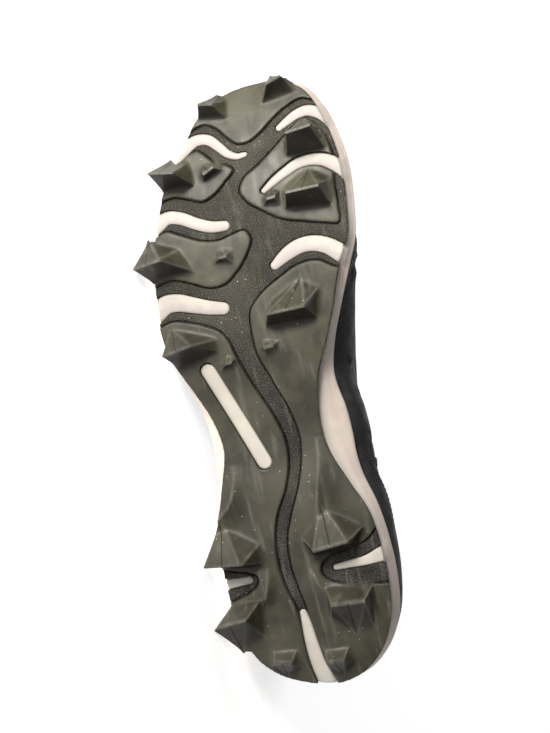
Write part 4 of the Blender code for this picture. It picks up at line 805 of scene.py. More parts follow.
def make_outsole_mesh(material):
    """The underside drawn over its plan, the flat top, the sides, and the zones that its material
    reads: grooves and creases, the web, pale ridges, and painted shade on the studs' backs.
    """
    flat, faces = outsole_plan()
    on_pod = np.max([depth(pod, flat, FAR) for pod in pods], axis=0)
    off_bay = -np.max([depth(bay, flat, FAR) for bay in bays], axis=0)
    inside = np.minimum(on_pod, off_bay)
    pod = np.where(inside > 0.0, POD_RAISE - round_over(inside, POD_ROUND) * POD_RAISE / POD_ROUND, 0.0)
    groove = bell((inside + GROOVE_PLACE) / GROOVE_HALF)
    pod = pod + sweep_height(flat) * capped(inside / SWEEP_FADE)
    tall = [s for s in studs if s["heights"].max() > NUB_MOST]
    nubs = [s for s in studs if s["heights"].max() <= NUB_MOST]
    stud = np.maximum(soft_foot(tall, flat, STUD_FILLET, STUD_HARD_FROM),
                      soft_foot(nubs, flat, NUB_FILLET, NUB_HARD_FROM))
    away = 1.0 - capped(stud / STUD_CLEAR)
    groove *= away
    crease = bell(near_lines([s["crease"] for s in tall], flat, CREASE_REACH) / CREASE_HALF)
    crease *= capped(stud / CREASE_GROWS)
    over = capped(1.0 - np.abs(pod - stud) / JOIN)
    standing = np.maximum(pod, stud) + over ** 2 * JOIN / 4.0 * (stud > 1e-5)
    in_plate = depth(plate_edge, flat)
    from_slot = -np.max([depth(slot, flat, FAR) for slot in slots], axis=0)
    from_edge = np.minimum(np.where(in_plate > 0, in_plate, 1.0), np.abs(from_slot))
    web = web_level(flat)
    low = web - standing + groove * GROOVE_DEPTH + crease * CREASE_DEPTH
    low += round_over(from_edge, EDGE_ROUND) * away
    past_edge = np.clip(-in_plate, 0.0, None)
    high = np.maximum(web + WEB_THICKNESS - LUG_UNDERCUT * past_edge, low + THINNEST * WEB_THICKNESS)
    high = np.where(past_edge > 1e-5, high, web + WEB_THICKNESS)

    # Ridges and crests painted pale: wear, and a painted highlight where a rounded edge would catch light.
    ridge = wear_and_highlight_line([r for s in studs for r in s["ridges"]], flat) * capped(stud / RIDGE_GROWS)
    crests = [pair for crest, _, _ in sweep_lines() for pair in zip(crest[:-3, :2], crest[1:-2, :2])]
    ridge = np.maximum(ridge, CREST_WEAR_AND_HIGHLIGHT * wear_and_highlight_line(crests, flat) * (1.0 - ridge) * (inside > 0.0))
    web_share = (1.0 - capped(inside / PALE_LINE_WIDTH + 0.5)) * away
    # Painted shade: the studs' steep heel-facing backs, and the pod just behind their feet, go dark.
    to_toe = np.array([BACK_STEP, 0.0])
    heelward_shade = np.zeros(len(flat))
    for ahead, weight in PAINTED_BACK_SHADE:
        spot = flat + to_toe * ahead / BACK_STEP
        climb = (stud_height(studs, spot + to_toe) - stud_height(studs, spot - to_toe)) / (2 * BACK_STEP)
        back = capped((climb - BACK_SLOPE) / BACK_SPAN)
        heelward_shade = np.maximum(heelward_shade, weight * back)
    # Zones: grooves and creases (near black: bare rubber and painted shade), web, pale ridges, painted
    # shade.
    zones = np.column_stack([np.maximum(groove, crease * CREASE_SHADE), web_share, ridge, heelward_shade])
    n = len(flat)
    points = np.concatenate([np.column_stack([flat, low]), np.column_stack([flat, high])])
    sides = [(b, a, a + n, b + n) for a, b in boundary_edges(faces)]
    all_faces = [*faces[:, ::-1].tolist(), *(faces + n).tolist(), *sides]
    return laid_mesh("moulded_outsole", points, all_faces, [material], sharp=32.0,
                     zones=np.concatenate([zones, zones * 0.0]))


SETTINGS = {
    "ShaderNodeMix": "data_type", "GeometryNodeInputNamedAttribute": "data_type",
    "GeometryNodeResampleCurve": "mode", "FunctionNodeAlignRotationToVector": "axis",
}


def node(tree, kind, setting=None, **inputs):
    """A node with its operation or other setting. Inputs are named with _ for spaces, or by
    number as at_0, and take a value or a socket."""
    made = tree.nodes.new(kind)
    if setting:
        setattr(made, SETTINGS.get(kind, "operation"), setting)
    for label, value in inputs.items():
        socket = made.inputs[int(label[3:]) if label.startswith("at_") else label.replace("_", " ")]
        if isinstance(value, bpy.types.NodeSocket):
            tree.links.new(value, socket)
        else:
            socket.default_value = value
    return made


def maths(tree, operation, first, second=0.0):
    """What a sum of one or two values gives."""
    return node(tree, "ShaderNodeMath", operation, at_0=first, at_1=second).outputs[0]


def times(tree, first, second):
    """One value times another."""
    return maths(tree, "MULTIPLY", first, second)


def noise(tree, place_at, scale, detail, roughness=0.5):
    """Cloudy values from 0 to 1."""
    return node(tree, "ShaderNodeTexNoise", Vector=place_at, Scale=scale, Detail=detail,
                Roughness=roughness).outputs[0]


def stepped(tree, value, low, high, out_low=0.0, out_high=1.0):
    """A value that rises smoothly from out_low to out_high between low and high."""
    made = node(tree, "ShaderNodeMapRange", Value=value, From_Min=low, From_Max=high,
                To_Min=out_low, To_Max=out_high)
    made.interpolation_type = "SMOOTHSTEP"
    return made.outputs[0]


def blended(tree, share, first, second):
    """A mix of two colours, each a socket or three linear values."""
    first, second = [(*c, 1.0) if isinstance(c, tuple) else c for c in (first, second)]
    return node(tree, "ShaderNodeMix", "RGBA", at_0=share, at_6=first, at_7=second).outputs[2]


def mixed(tree, share, first, second):
    """A mix of two values."""
    return node(tree, "ShaderNodeMix", "FLOAT", at_0=share, at_2=first, at_3=second).outputs[0]


def coated(tree, colour, *coats):
    """A colour under coats, each a share and a colour."""
    for share, coat in coats:
        colour = blended(tree, share, colour, coat)
    return colour


def new_material(name, roughness):
    """A material, its tree, its shader, and places on the object."""
    made = bpy.data.materials.new(name)
    made.use_nodes = True
    tree = made.node_tree
    shader = tree.nodes["Principled BSDF"]
    shader.inputs["Roughness"].default_value = roughness
    return made, tree, shader, tree.nodes.new("ShaderNodeTexCoord").outputs["Object"]


def surfaced(tree, shader, colour, height=None, strength=1.0, distance=0.0):
    """Gives a shader its colour, and a bump from a height."""
    tree.links.new(colour, shader.inputs["Base Color"])
    if height is not None:
        bump = node(tree, "ShaderNodeBump", Strength=strength, Distance=distance, Height=height)
        tree.links.new(bump.outputs[0], shader.inputs["Normal"])


def zone_shares(tree):
    """The four zones of a mesh, as laid_mesh keeps them."""
    zones = tree.nodes.new("ShaderNodeAttribute")
    zones.attribute_name = "zones"
    parts = node(tree, "ShaderNodeSeparateColor", Color=zones.outputs["Color"]).outputs
    return parts[0], parts[1], parts[2], zones.outputs["Alpha"]


def shader_group(name, inputs, outputs):
    """An empty shader group with float inputs and a Place input, and its first and last node."""
    tree = bpy.data.node_groups.new(name, "ShaderNodeTree")
    tree.interface.new_socket("Place", in_out="INPUT", socket_type="NodeSocketVector")
    for label, value in inputs.items():
        socket = tree.interface.new_socket(label, in_out="INPUT", socket_type="NodeSocketFloat")
        socket.default_value = value
    for label in outputs:
        tree.interface.new_socket(label, in_out="OUTPUT", socket_type="NodeSocketFloat")
    return tree, tree.nodes.new("NodeGroupInput"), tree.nodes.new("NodeGroupOutput")


def use_group(tree, group, place_at, **inputs):
    """The outputs of a shader group at a place."""
    made = tree.nodes.new("ShaderNodeGroup")
    made.node_tree = group
    tree.links.new(place_at, made.inputs["Place"])
    for label, value in inputs.items():
        made.inputs[label.replace("_", " ")].default_value = value
    return made.outputs


def dust_group():
    """White specks of dust, scattered unevenly: Specks is their mask, Film a faint grey haze."""
    tree, start, end = shader_group("dust", {"Speck width": 0.0004, "Share": 0.5}, ("Specks", "Film"))
    cells = node(tree, "ShaderNodeTexVoronoi", Vector=start.outputs["Place"], Scale=400.0)
    worth = node(tree, "ShaderNodeSeparateColor", Color=cells.outputs["Color"]).outputs[0]
    patches = noise(tree, start.outputs["Place"], 38.0, 3.0)
    limit = times(tree, start.outputs["Share"], stepped(tree, patches, 0.35, 0.75, 0.02, 0.55))
    width = times(tree, times(tree, start.outputs["Speck width"], 200.0), maths(tree, "ADD", worth, 0.6))
    near = maths(tree, "LESS_THAN", cells.outputs["Distance"], width)
    tree.links.new(times(tree, maths(tree, "LESS_THAN", worth, limit), near), end.inputs["Specks"])
    tree.links.new(stepped(tree, patches, 0.42, 0.80), end.inputs["Film"])
    return tree


def grain_group():
    """Even fine grain of moulded rubber, foam or coated cloth, as a height from 0 to 1."""
    tree, start, end = shader_group("grain", {"Scale": 900.0, "Softness": 0.5}, ("Height",))
    scale = start.outputs["Scale"]
    cells = node(tree, "ShaderNodeTexVoronoi", Vector=start.outputs["Place"], Randomness=0.55, Scale=scale)
    coarse = stepped(tree, cells.outputs["Distance"], 0.15, 0.65, 1.0, 0.0)
    fine = noise(tree, start.outputs["Place"], times(tree, scale, 1.7), 4.0)
    tree.links.new(mixed(tree, start.outputs["Softness"], coarse, fine), end.inputs["Height"])
    return tree


dust = dust_group()
grain = grain_group()


def make_rubber():
    """Black rubber with an olive grey film of wear and dust: satin pods, a stippled web with painted
    highlights on its dots, grooves and creases near black for bare rubber and painted shade in them,
    painted shade on the studs' backs, ridges pale for wear and a painted highlight, white specks."""
    material, tree, shader, place_at = new_material("black_rubber", 0.45)
    groove, web_share, ridge, heelward_shade = zone_shares(tree)
    cloud = noise(tree, place_at, 55.0, 6.0, 0.6)
    drawn_out = node(tree, "ShaderNodeMapping", Vector=place_at, Rotation=(0.0, 0.9, 0.0),
                     Scale=(0.35, 1.0, 2.2))
    smear = noise(tree, drawn_out.outputs[0], 120.0, 5.0)
    specks = use_group(tree, dust, place_at, Speck_width=0.00058, Share=1.0)
    stipple = use_group(tree, grain, place_at, Scale=980.0, Softness=0.06)["Height"]
    skin = use_group(tree, grain, place_at, Scale=2600.0, Softness=0.7)["Height"]
    # The web and pods are coloured lighter towards the toe.
    forward = stepped(tree, node(tree, "ShaderNodeSeparateXYZ", Vector=place_at).outputs[0],
                      -0.120, 0.040, 1.0, 0.0)
    pod = coated(tree, (0.026, 0.0235, 0.0160),
                 (stepped(tree, cloud, 0.35, 0.68), (0.048, 0.0435, 0.0285)),
                 (times(tree, forward, stepped(tree, cloud, 0.42, 0.62, 0.15, 0.75)), (0.092, 0.085, 0.052)))
    # The stipple dots' tops are painted lighter: a painted highlight on the glossy dots.
    web = blended(tree, stipple,
                  blended(tree, forward, (0.004, 0.0037, 0.003), (0.010, 0.009, 0.0065)),
                  blended(tree, forward, (0.046, 0.042, 0.031), (0.092, 0.081, 0.054)))
    colour = coated(tree, blended(tree, web_share, pod, web),
                    (times(tree, specks["Film"], 0.22), (0.17, 0.160, 0.120)),
                    (stepped(tree, smear, 0.54, 0.72, 0.0, 0.40), (0.13, 0.125, 0.10)),
                    # ridges painted pale: wear and a painted highlight
                    (times(tree, ridge, stepped(tree, smear, 0.40, 0.66, 0.35, 0.8)), (0.14, 0.135, 0.105)),
                    # painted shade on the studs' heel-facing backs
                    (times(tree, heelward_shade, 0.85), (0.0085, 0.008, 0.007)),
                    # grooves and creases near black: bare rubber and painted shade
                    (times(tree, groove, 0.95), (0.003, 0.003, 0.003)),
                    (times(tree, specks["Specks"], 0.8), (0.55, 0.54, 0.48)))
    shader.inputs["Specular IOR Level"].default_value = 0.36
    rough = mixed(tree, web_share, stepped(tree, smear, 0.3, 0.7, 0.40, 0.54), 0.60)
    tree.links.new(rough, shader.inputs["Roughness"])
    height = maths(tree, "ADD", times(tree, stipple, web_share), times(tree, skin, 0.10))
    surfaced(tree, shader, colour, height, 1.0, 0.00034)
    return material


black_rubber = make_rubber()
outsole = make_outsole_mesh(black_rubber)
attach(outsole, "root")
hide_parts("outsole")

# Midsole
# White moulded foam, cupped up round the foot, its side sloping out from the plate. Its ribs
# come through the outsole's slots and the window. The upper is cemented on top of it.
GAP = 0.0003
RIB_TO_EDGE = 0.0003
RIB_SHADE_FROM = 0.56
RIB_ROUND = 0.0013
RIB_SIDE = 0.0006
RIB_RECESS = 0.0005
HEEL_STACK = 0.019
FOREFOOT_STACK = 0.0105
WAIST_FLARE = 0.012
RIM_ROUND = 0.0012
RIM_LEDGE = 0.0012
RIM_POINTS = 360
BULGE_PLACE = 0.45
BULGE_SHARE = 0.55
SIDE_ROWS = 18
RIB_RINGS = (0.00015, 0.0004, 0.0008, 0.0013)
RIB_DRAFT = 0.00012
RIB_RING_SPACE, RIB_RING_CLEAR, RIB_FOOT = 0.0003, 0.00012, 0.00006
MOUTH_CLEAR, FOOT_CLEAR = 0.0006, 0.0003
RIB_EDGE_DARK_WIDTH, RIB_EDGE_DARK_FROM = 0.0007, 0.0004
LOW_ROWS_TO, HIGH_ROWS, CAP_SHARES = 0.92, (0.95, 0.98, 1.0), (0.2, 0.5, 0.8)
RIB_SHADE_STEP = 0.0022
FOAM_GRID_STEP, FOAM_GRID_SPACE = 0.0022, 0.0014
STACK_FROM, STACK_OVER = 0.22, 0.46


def bed_level(uv):
    """Height of the midsole's top, on which the foot and the upper stand."""
    a = uv[:, 0] / LENGTH
    t = capped((a - STACK_FROM) / STACK_OVER)
    stack = HEEL_STACK + (FOREFOOT_STACK - HEEL_STACK) * eased(t)
    on_axis = np.stack([uv[:, 0], np.zeros(len(uv))], axis=1)
    return web_level(on_axis) + WEB_THICKNESS + stack


def rim_rings(count):
    """The plate's edge, and the midsole's rim outside it, as loops that run side by side."""
    table = np.array(PLATE_EDGE)
    rows = np.column_stack([place(table[:, :2]), table[:, 2] * WAIST_FLARE])
    ring = smooth_line(rows, True, count)
    edge = ring[:, :2]
    return edge, edge + outward(edge) * ring[:, 2:]


def cut_along(loop, shape):
    """A slot's shape that stops along a loop at its mouth, where the shape starts and ends."""
    within = depth(loop, shape)
    if within.min() > 0.0:
        return shape
    first = int(np.argmax(within > 0))
    last = len(shape) - 1 - int(np.argmax(within[::-1] > 0))
    ends = [shape[i] + (shape[o] - shape[i]) * within[i] / (within[i] - within[o])
            for i, o in ((first, first - 1), (last, last + 1))]
    nearest = [int(np.argmin(np.linalg.norm(loop - end, axis=1))) for end in ends]
    steps = (nearest[0] - nearest[1] + len(loop) // 2) % len(loop) - len(loop) // 2
    turn = 1 if steps > 0 else -1
    way = [loop[(nearest[1] + i * turn) % len(loop)] for i in range(abs(steps) + 1)]
    way = [p for p in way if min(np.linalg.norm(p - end) for end in ends) > MOUTH_CLEAR]
    middle = (ends[0] + ends[1]) / 2
    way = [p for p in way if np.linalg.norm(p - middle) < np.linalg.norm(ends[0] - middle)]
    return np.array([ends[0], *shape[first:last + 1], ends[1], *way])


def rib_drop(points, foot, whole_ribs):
    """How far the ribs' rounded undersides stand below the foam's own underside, and how deep
    points are in a rib."""
    into_rib = np.max([depth(rib, points, NEAR) for rib in whole_ribs], axis=0)
    inward = np.minimum(into_rib, depth(foot, points) + RIB_ROUND / 3.0)
    crown = round_over(inward, RIB_ROUND) * RIB_SIDE / RIB_ROUND
    full = WEB_THICKNESS + GAP - RIB_RECESS
    return np.where(into_rib > -RIB_FOOT, full - crown, 0.0), into_rib


def make_midsole_mesh(material):
    """The underside with its ribs, the side up to the rim, the flat top, and the zones: the ribs darker
    along their edges, the side wall's rows, and painted shade on the ribs' heel-facing sides.
    """
    edge, rim = rim_rings(RIM_POINTS)
    foot = edge - outward(edge) * RIM_ROUND / 2.0
    inner = rim - outward(rim) * RIM_ROUND
    bulge = foot * (1 - BULGE_SHARE) + rim * BULGE_SHARE + outward(rim) * RIM_ROUND * 0.8
    whole_ribs = slot_shapes(-GAP)
    ribs = [cut_along(foot - outward(foot) * RIB_TO_EDGE, rib) for rib in whole_ribs]
    rings = np.concatenate([rib - outward(rib) * inset for rib in ribs for inset in RIB_RINGS])
    rings = clear_of(crowded(rings, RIB_RING_SPACE), np.concatenate(ribs), RIB_RING_CLEAR)
    grid = hex_grid(foot.min(axis=0), foot.max(axis=0), FOAM_GRID_STEP)
    grid = clear_of(grid, np.concatenate([foot, rings, *ribs]), FOAM_GRID_SPACE)
    loose = np.concatenate([rings, grid])
    loose = loose[depth(foot, loose) > FOOT_CLEAR]
    walls_out = [rib + outward(rib) * RIB_DRAFT for rib in ribs]
    flat, faces = triangulate([foot, *ribs, *walls_out], [], loose,
                              lambda c: depth(foot, c) > 0.0, merge=1e-6)
    drop, into_rib = rib_drop(flat, foot, whole_ribs)
    under = np.column_stack([flat, web_level(flat) + WEB_THICKNESS + GAP - drop])

    low_w = web_level(foot) + WEB_THICKNESS + GAP - rib_drop(foot, foot, whole_ribs)[0]
    high_w = bed_level(rim)
    key_rings = np.stack([
        np.column_stack([foot, low_w]),
        np.column_stack([bulge, low_w + (high_w - low_w) * BULGE_PLACE]),
        np.column_stack([rim, high_w - RIM_ROUND * 0.8]),
        np.column_stack([inner, bed_level(inner)])]).reshape(4, -1)
    rows = np.concatenate([np.linspace(0.0, LOW_ROWS_TO, SIDE_ROWS), HIGH_ROWS])
    side = glide([0.0, BULGE_PLACE, 0.93, 1.0], key_rings, rows).reshape(len(rows), RIM_POINTS, 3)
    middle = np.array([[inner[:, 0].mean(), inner[:, 1].mean()]])
    caps = [np.column_stack([c, bed_level(c)]) for c in
            (inner * (1 - s) + middle * s for s in CAP_SHARES)]
    tip = np.array([[*middle[0], bed_level(middle)[0]]])
    stack = [*side, *caps]
    first, n = len(under), RIM_POINTS
    points = np.concatenate([under, *stack, tip])
    last = len(points) - 1 - n
    all_faces = faces[:, ::-1].tolist() + tube_faces(len(stack), n, first)
    all_faces += [(last + i, last + (i + 1) % n, len(points) - 1) for i in range(n)]

    zones = np.zeros((len(points), 4))
    # The ribs are painted darker along their edges.
    zones[:first, 1] = bell(into_rib / RIB_EDGE_DARK_WIDTH) * (into_rib > -RIB_EDGE_DARK_FROM)
    # Painted shade on the heel-facing sides of the forefoot's ribs.
    ahead, behind = (rib_drop(flat + [step, 0.0], foot, whole_ribs)[1] for step in (RIB_SHADE_STEP, -RIB_SHADE_STEP))
    heelward_shade = capped((ahead - behind) / RIB_SHADE_STEP) * (into_rib > 0.0)
    zones[:first, 3] = heelward_shade * (flat[:, 0] > RIB_SHADE_FROM * LENGTH)
    zones[first:first + n * len(rows), 2] = np.repeat(rows, n)
    return laid_mesh("foam_midsole", points, all_faces, [material], sharp=50.0, zones=zones)


def make_foam():
    """Off-white foam skin: fine pebble, faint warm and pink clouds, darker along the ribs' edges, painted
    shade on the ribs' heel-facing sides, and ribs painted darker than the side wall, which gets less light.
    """
    material, tree, shader, place_at = new_material("white_foam", 0.58)
    _, near_wall, up_side, heelward_shade = zone_shares(tree)
    cloud = noise(tree, place_at, 58.0, 3.0)
    marks = noise(tree, place_at, 190.0, 6.0, 0.7)
    pebble = use_group(tree, grain, place_at, Scale=1500.0, Softness=0.5)["Height"]
    specks = use_group(tree, dust, place_at, Speck_width=0.0003, Share=0.06)["Specks"]
    # The ribs, strongly lit, are painted darker than the side wall of the same foam, which gets less light.
    ribs = blended(tree, stepped(tree, cloud, 0.38, 0.66), (0.47, 0.435, 0.395), (0.54, 0.51, 0.445))
    wall = blended(tree, stepped(tree, cloud, 0.35, 0.70), (0.71, 0.60, 0.53), (0.80, 0.705, 0.62))
    colour = coated(tree, ribs, (stepped(tree, up_side, 0.02, 0.30), wall),
                    (stepped(tree, marks, 0.60, 0.80, 0.0, 0.30), (0.42, 0.37, 0.32)),
                    # painted shade on the ribs' heel-facing sides
                    (times(tree, heelward_shade, 0.8), (0.385, 0.345, 0.33)),
                    # darker along the ribs' edges
                    (times(tree, near_wall, 0.55), (0.30, 0.26, 0.22)),
                    (times(tree, specks, 0.6), (0.10, 0.09, 0.08)))
    surfaced(tree, shader, colour, pebble, 0.5, 0.00010)
    return material


white_foam = make_foam()
midsole = make_midsole_mesh(white_foam)
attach(midsole, "root")
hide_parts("midsole")

# Upper
# Coated black synthetic leather in one shaped shell with a soft cloth lining, lasted under the
# foot and cemented to the midsole. The forefoot is pierced with pinholes; it creases where the
# foot bends and where the heel's sides buckle.
COLLAR_HEIGHT = 0.062
WALL = 0.0020
SIDE_PULL = 0.3
WALL_TALL = 0.085
WAYS = 480
UPPER_ROWS, ROWS_CROWD = 64, 0.09
CREASE_TOP_FROM, CREASE_TOP_FADE, CREASE_SIDE_FADE = 0.040, 0.010, 0.012
CREASE_LIP, LIP_AT, LIP_SPREAD = 0.45, 1.9, 0.9

WALL_LINES = [
    # side, a of the foot; a, b and rise of the top; lean and rise of the wall's lower part;
    # how far its upper part comes in from the outside and from below. Rises are shares of
    # COLLAR_HEIGHT, the other three of BALL_WIDTH.
    ("heel", 0.00, 0.020, -0.020, 1.00, 0.060, 0.36, 0.030, 0.34),
    ("outer", 0.06, 0.050, -0.260, 0.97, 0.028, 0.36, 0.035, 0.34),
    ("outer", 0.14, 0.120, -0.410, 0.90, -0.005, 0.34, 0.055, 0.36),
    ("outer", 0.23, 0.205, -0.430, 0.83, -0.010, 0.32, 0.065, 0.36),
    ("outer", 0.32, 0.290, -0.385, 0.88, 0.025, 0.28, 0.090, 0.34),
    ("outer", 0.39, 0.350, -0.270, 1.10, 0.120, 0.26, 0.130, 0.30),
    ("outer", 0.45, 0.395, -0.200, 1.27, 0.110, 0.25, 0.180, 0.22),
    ("outer", 0.53, 0.465, -0.180, 1.13, 0.070, 0.26, 0.230, 0.13),
    ("outer", 0.61, 0.535, -0.165, 0.97, 0.045, 0.28, 0.260, 0.08),
    ("outer", 0.69, 0.600, -0.145, 0.84, 0.035, 0.30, 0.280, 0.05),
    ("outer", 0.77, 0.650, -0.112, 0.765, 0.030, 0.32, 0.300, 0.05),
    ("outer", 0.85, 0.680, -0.070, 0.725, 0.025, 0.34, 0.340, 0.06),
    ("outer", 0.93, 0.693, -0.028, 0.705, 0.020, 0.37, 0.440, 0.11),
    ("toe", 1.00, 0.697, 0.014, 0.700, 0.015, 0.40, 0.560, 0.16),
    ("inner", 0.94, 0.693, 0.056, 0.705, 0.020, 0.37, 0.440, 0.11),
    ("inner", 0.87, 0.680, 0.096, 0.725, 0.025, 0.34, 0.330, 0.06),
    ("inner", 0.79, 0.650, 0.137, 0.765, 0.030, 0.32, 0.290, 0.05),
    ("inner", 0.71, 0.600, 0.165, 0.84, 0.035, 0.30, 0.260, 0.05),
    ("inner", 0.63, 0.535, 0.182, 0.97, 0.070, 0.28, 0.240, 0.08),
    ("inner", 0.55, 0.465, 0.192, 1.13, 0.115, 0.26, 0.220, 0.13),
    ("inner", 0.46, 0.395, 0.210, 1.27, 0.150, 0.25, 0.190, 0.20),
    ("inner", 0.39, 0.350, 0.285, 1.10, 0.130, 0.26, 0.130, 0.28),
    ("inner", 0.32, 0.290, 0.365, 0.90, 0.090, 0.28, 0.090, 0.32),
    ("inner", 0.23, 0.205, 0.385, 0.85, 0.060, 0.32, 0.070, 0.32),
    ("inner", 0.14, 0.120, 0.350, 0.91, 0.050, 0.34, 0.050, 0.34),
    ("inner", 0.06, 0.050, 0.205, 0.97, 0.045, 0.36, 0.040, 0.34),
]


class Upper:
    """The wall of the upper as a function of the way round the sole and the height up it."""

    def __init__(self):
        rim = rim_rings(RIM_POINTS)[1]
        self.foot = rim - outward(rim) * RIM_LEDGE
        self.knots = chord_knots(self.foot, True)
        self.round = self.knots[-1]
        self.at = np.array([self.way(side, a) for side, a, *_ in WALL_LINES])
        self.rows = np.array([row for _, _, *row in WALL_LINES])

    def way(self, side, a_foot):
        """The way round, in metres, to a place at the foot of one side, or to heel or toe."""
        toe = int(np.argmax(self.foot[:, 0]))
        share = self.foot[:, 0] / LENGTH
        if side == "outer":
            return np.interp(a_foot, share[:toe], self.knots[:toe])
        if side == "inner":
            return np.interp(-a_foot, -share[toe:], self.knots[toe:-1])
        return self.knots[toe] if side == "toe" else 0.0

    def outer(self, ways, heights):
        """Points of the outer surface, for each way round and each height share, which may
        differ from way to way."""
        ways = np.asarray(ways, float)
        foot = glide(self.knots[:-1], self.foot, ways, period=self.round)
        a, b, rise, lean, low_rise, out, high_drop = glide(
            self.at, self.rows, ways, period=self.round).T
        top = np.column_stack([a * LENGTH, b * width_at(a)])
        start = np.column_stack([foot, bed_level(foot) + GAP])
        end = np.column_stack([top, bed_level(top) + rise * COLLAR_HEIGHT])
        facing = glide(self.knots[:-1], outward(self.foot), ways, period=self.round)
        away = unit(foot - top + facing * SIDE_PULL * BALL_WIDTH)
        away = np.column_stack([away, np.zeros(len(away))])
        up = np.array([0.0, 0.0, COLLAR_HEIGHT])
        first = start + away * (lean * BALL_WIDTH)[:, None] + up * low_rise[:, None]
        second = end + away * (out * BALL_WIDTH)[:, None] - up * high_drop[:, None]
        q = np.atleast_2d(np.asarray(heights, float))[:, :, None]
        return (start[:, None] * (1 - q) ** 3 + 3 * first[:, None] * q * (1 - q) ** 2
                + 3 * second[:, None] * q * q * (1 - q) + end[:, None] * q ** 3)

    def normals(self, ways, heights):
        """Outward normals, from the surface a little to each side."""
        ways, heights = np.asarray(ways, float), np.asarray(heights, float)
        step, lift = 0.0015, 0.012
        along = self.outer(ways + step, heights) - self.outer(ways - step, heights)
        rise = self.outer(ways, capped(heights + lift)) - self.outer(ways, capped(heights - lift))
        return unit(np.cross(along, rise))

    def skin(self, ways, heights, offset):
        """The surface moved out by offset, which may differ from point to point."""
        offset = np.broadcast_to(offset, (len(ways), np.shape(heights)[-1]))
        return self.outer(ways, heights) + self.normals(ways, heights) * offset[:, :, None]

    def collar_share(self, ways):
        """1 along the padded collar round the heel, 0 at the throat and the toe."""
        a = glide(self.at, self.rows[:, :1], ways, period=self.round)[:, 0]
        return capped((COLLAR_FRONT + COLLAR_FADE / 2 - a) / COLLAR_FADE)


def tube_grid(outer, inner, closed_round):
    """Points and faces of a wall between two grids, closed at its edges."""
    n, m = outer.shape[:2]
    points = np.concatenate([outer.reshape(-1, 3), inner.reshape(-1, 3)])
    shift = n * m
    faces = []
    for i in range(n if closed_round else n - 1):
        k = (i + 1) % n
        for j in range(m - 1):
            a, b, c, d = i * m + j, k * m + j, k * m + j + 1, i * m + j + 1
            faces += [(a, b, c, d), (d + shift, c + shift, b + shift, a + shift)]
        faces += [(i * m, i * m + shift, k * m + shift, k * m),
                  (i * m + m - 1, k * m + m - 1, k * m + m - 1 + shift, i * m + m - 1 + shift)]
    if not closed_round:
        for j in range(m - 1):
            last = (n - 1) * m
            faces += [(j, j + 1, j + 1 + shift, j + shift),
                      (last + j + 1, last + j, last + j + shift, last + j + 1 + shift)]
    return points, faces


CREASES = [
    # face: seen from the top in (u, v) or from a side in (u, w); the two ends; width; depth
    ("top", 0.2110, -0.036, 0.2215, 0.004, 0.0030, 0.0013),
    ("top", 0.2190, 0.002, 0.2105, 0.037, 0.0032, 0.0012),
    ("top", 0.2270, -0.027, 0.2330, 0.012, 0.0026, 0.0008),
    ("top", 0.2040, -0.040, 0.2075, -0.020, 0.0026, 0.0009),
    ("top", 0.2030, 0.022, 0.2010, 0.042, 0.0026, 0.0009),
    ("inner", 0.1960, 0.038, 0.2080, 0.050, 0.0030, 0.0006),
    ("inner", 0.1060, 0.066, 0.1150, 0.080, 0.0034, 0.0006),
    ("inner", 0.0960, 0.064, 0.1020, 0.076, 0.0028, 0.0004),
    ("outer", 0.1940, 0.036, 0.2080, 0.048, 0.0030, 0.0007),
    ("outer", 0.1060, 0.066, 0.1150, 0.080, 0.0034, 0.0006),
    ("outer", 0.0960, 0.064, 0.1020, 0.076, 0.0028, 0.0004),
]


def creased(surface):
    """How far the wear creases push the wall in, or lift its lips out, at each surface point."""
    flat = surface.reshape(-1, 3)
    push = np.zeros(len(flat))
    up_side = capped((flat[:, 2] - CREASE_TOP_FROM) / CREASE_TOP_FADE)
    for face, x0, y0, x1, y1, width, deep in CREASES:
        if face == "top":
            seen, share = flat[:, [0, 1]], up_side
        else:
            sign = 1.0 if face == "inner" else -1.0
            seen, share = flat[:, [0, 2]], capped(flat[:, 1] * sign / CREASE_SIDE_FADE)
        away = near_lines([(np.array([x0, y0]), np.array([x1, y1]))], seen, width * 5) / width
        push += share * deep * (CREASE_LIP * bell((away - LIP_AT) / LIP_SPREAD) - bell(away))
    return push.reshape(surface.shape[:-1])


def worn_skin(ways, heights, offset):
    """The wall's surface at an offset, with the creases that it has taken on."""
    return form.skin(ways, heights, offset + creased(form.outer(ways, heights)))


def make_upper_mesh(leather, lining):
    """The wall, its rows closer together at its foot and at its top edge, lined inside."""
    ways = np.arange(WAYS) * form.round / WAYS
    heights = np.linspace(0.0, 1.0, UPPER_ROWS)
    heights = heights - ROWS_CROWD * np.sin(2 * np.pi * heights)
    outer = worn_skin(ways, heights, 0.0)
    inner = worn_skin(ways, heights, -WALL)
    inner[:, 0, 2] = outer[:, 0, 2]
    points, faces = tube_grid(outer, inner, True)
    uv = np.stack(np.meshgrid(ways, heights * WALL_TALL, indexing="ij"), axis=-1).reshape(-1, 2)
    per_way = 2 * (UPPER_ROWS - 1) + 2
    place_in_way = np.arange(len(faces)) % per_way
    inside = (place_in_way % 2 == 1) & (place_in_way < per_way - 2)
    return laid_mesh("leather_upper", points, faces, [leather, lining], sharp=60.0,
                     uv=np.concatenate([uv, uv]), face_material=inside.astype(int))


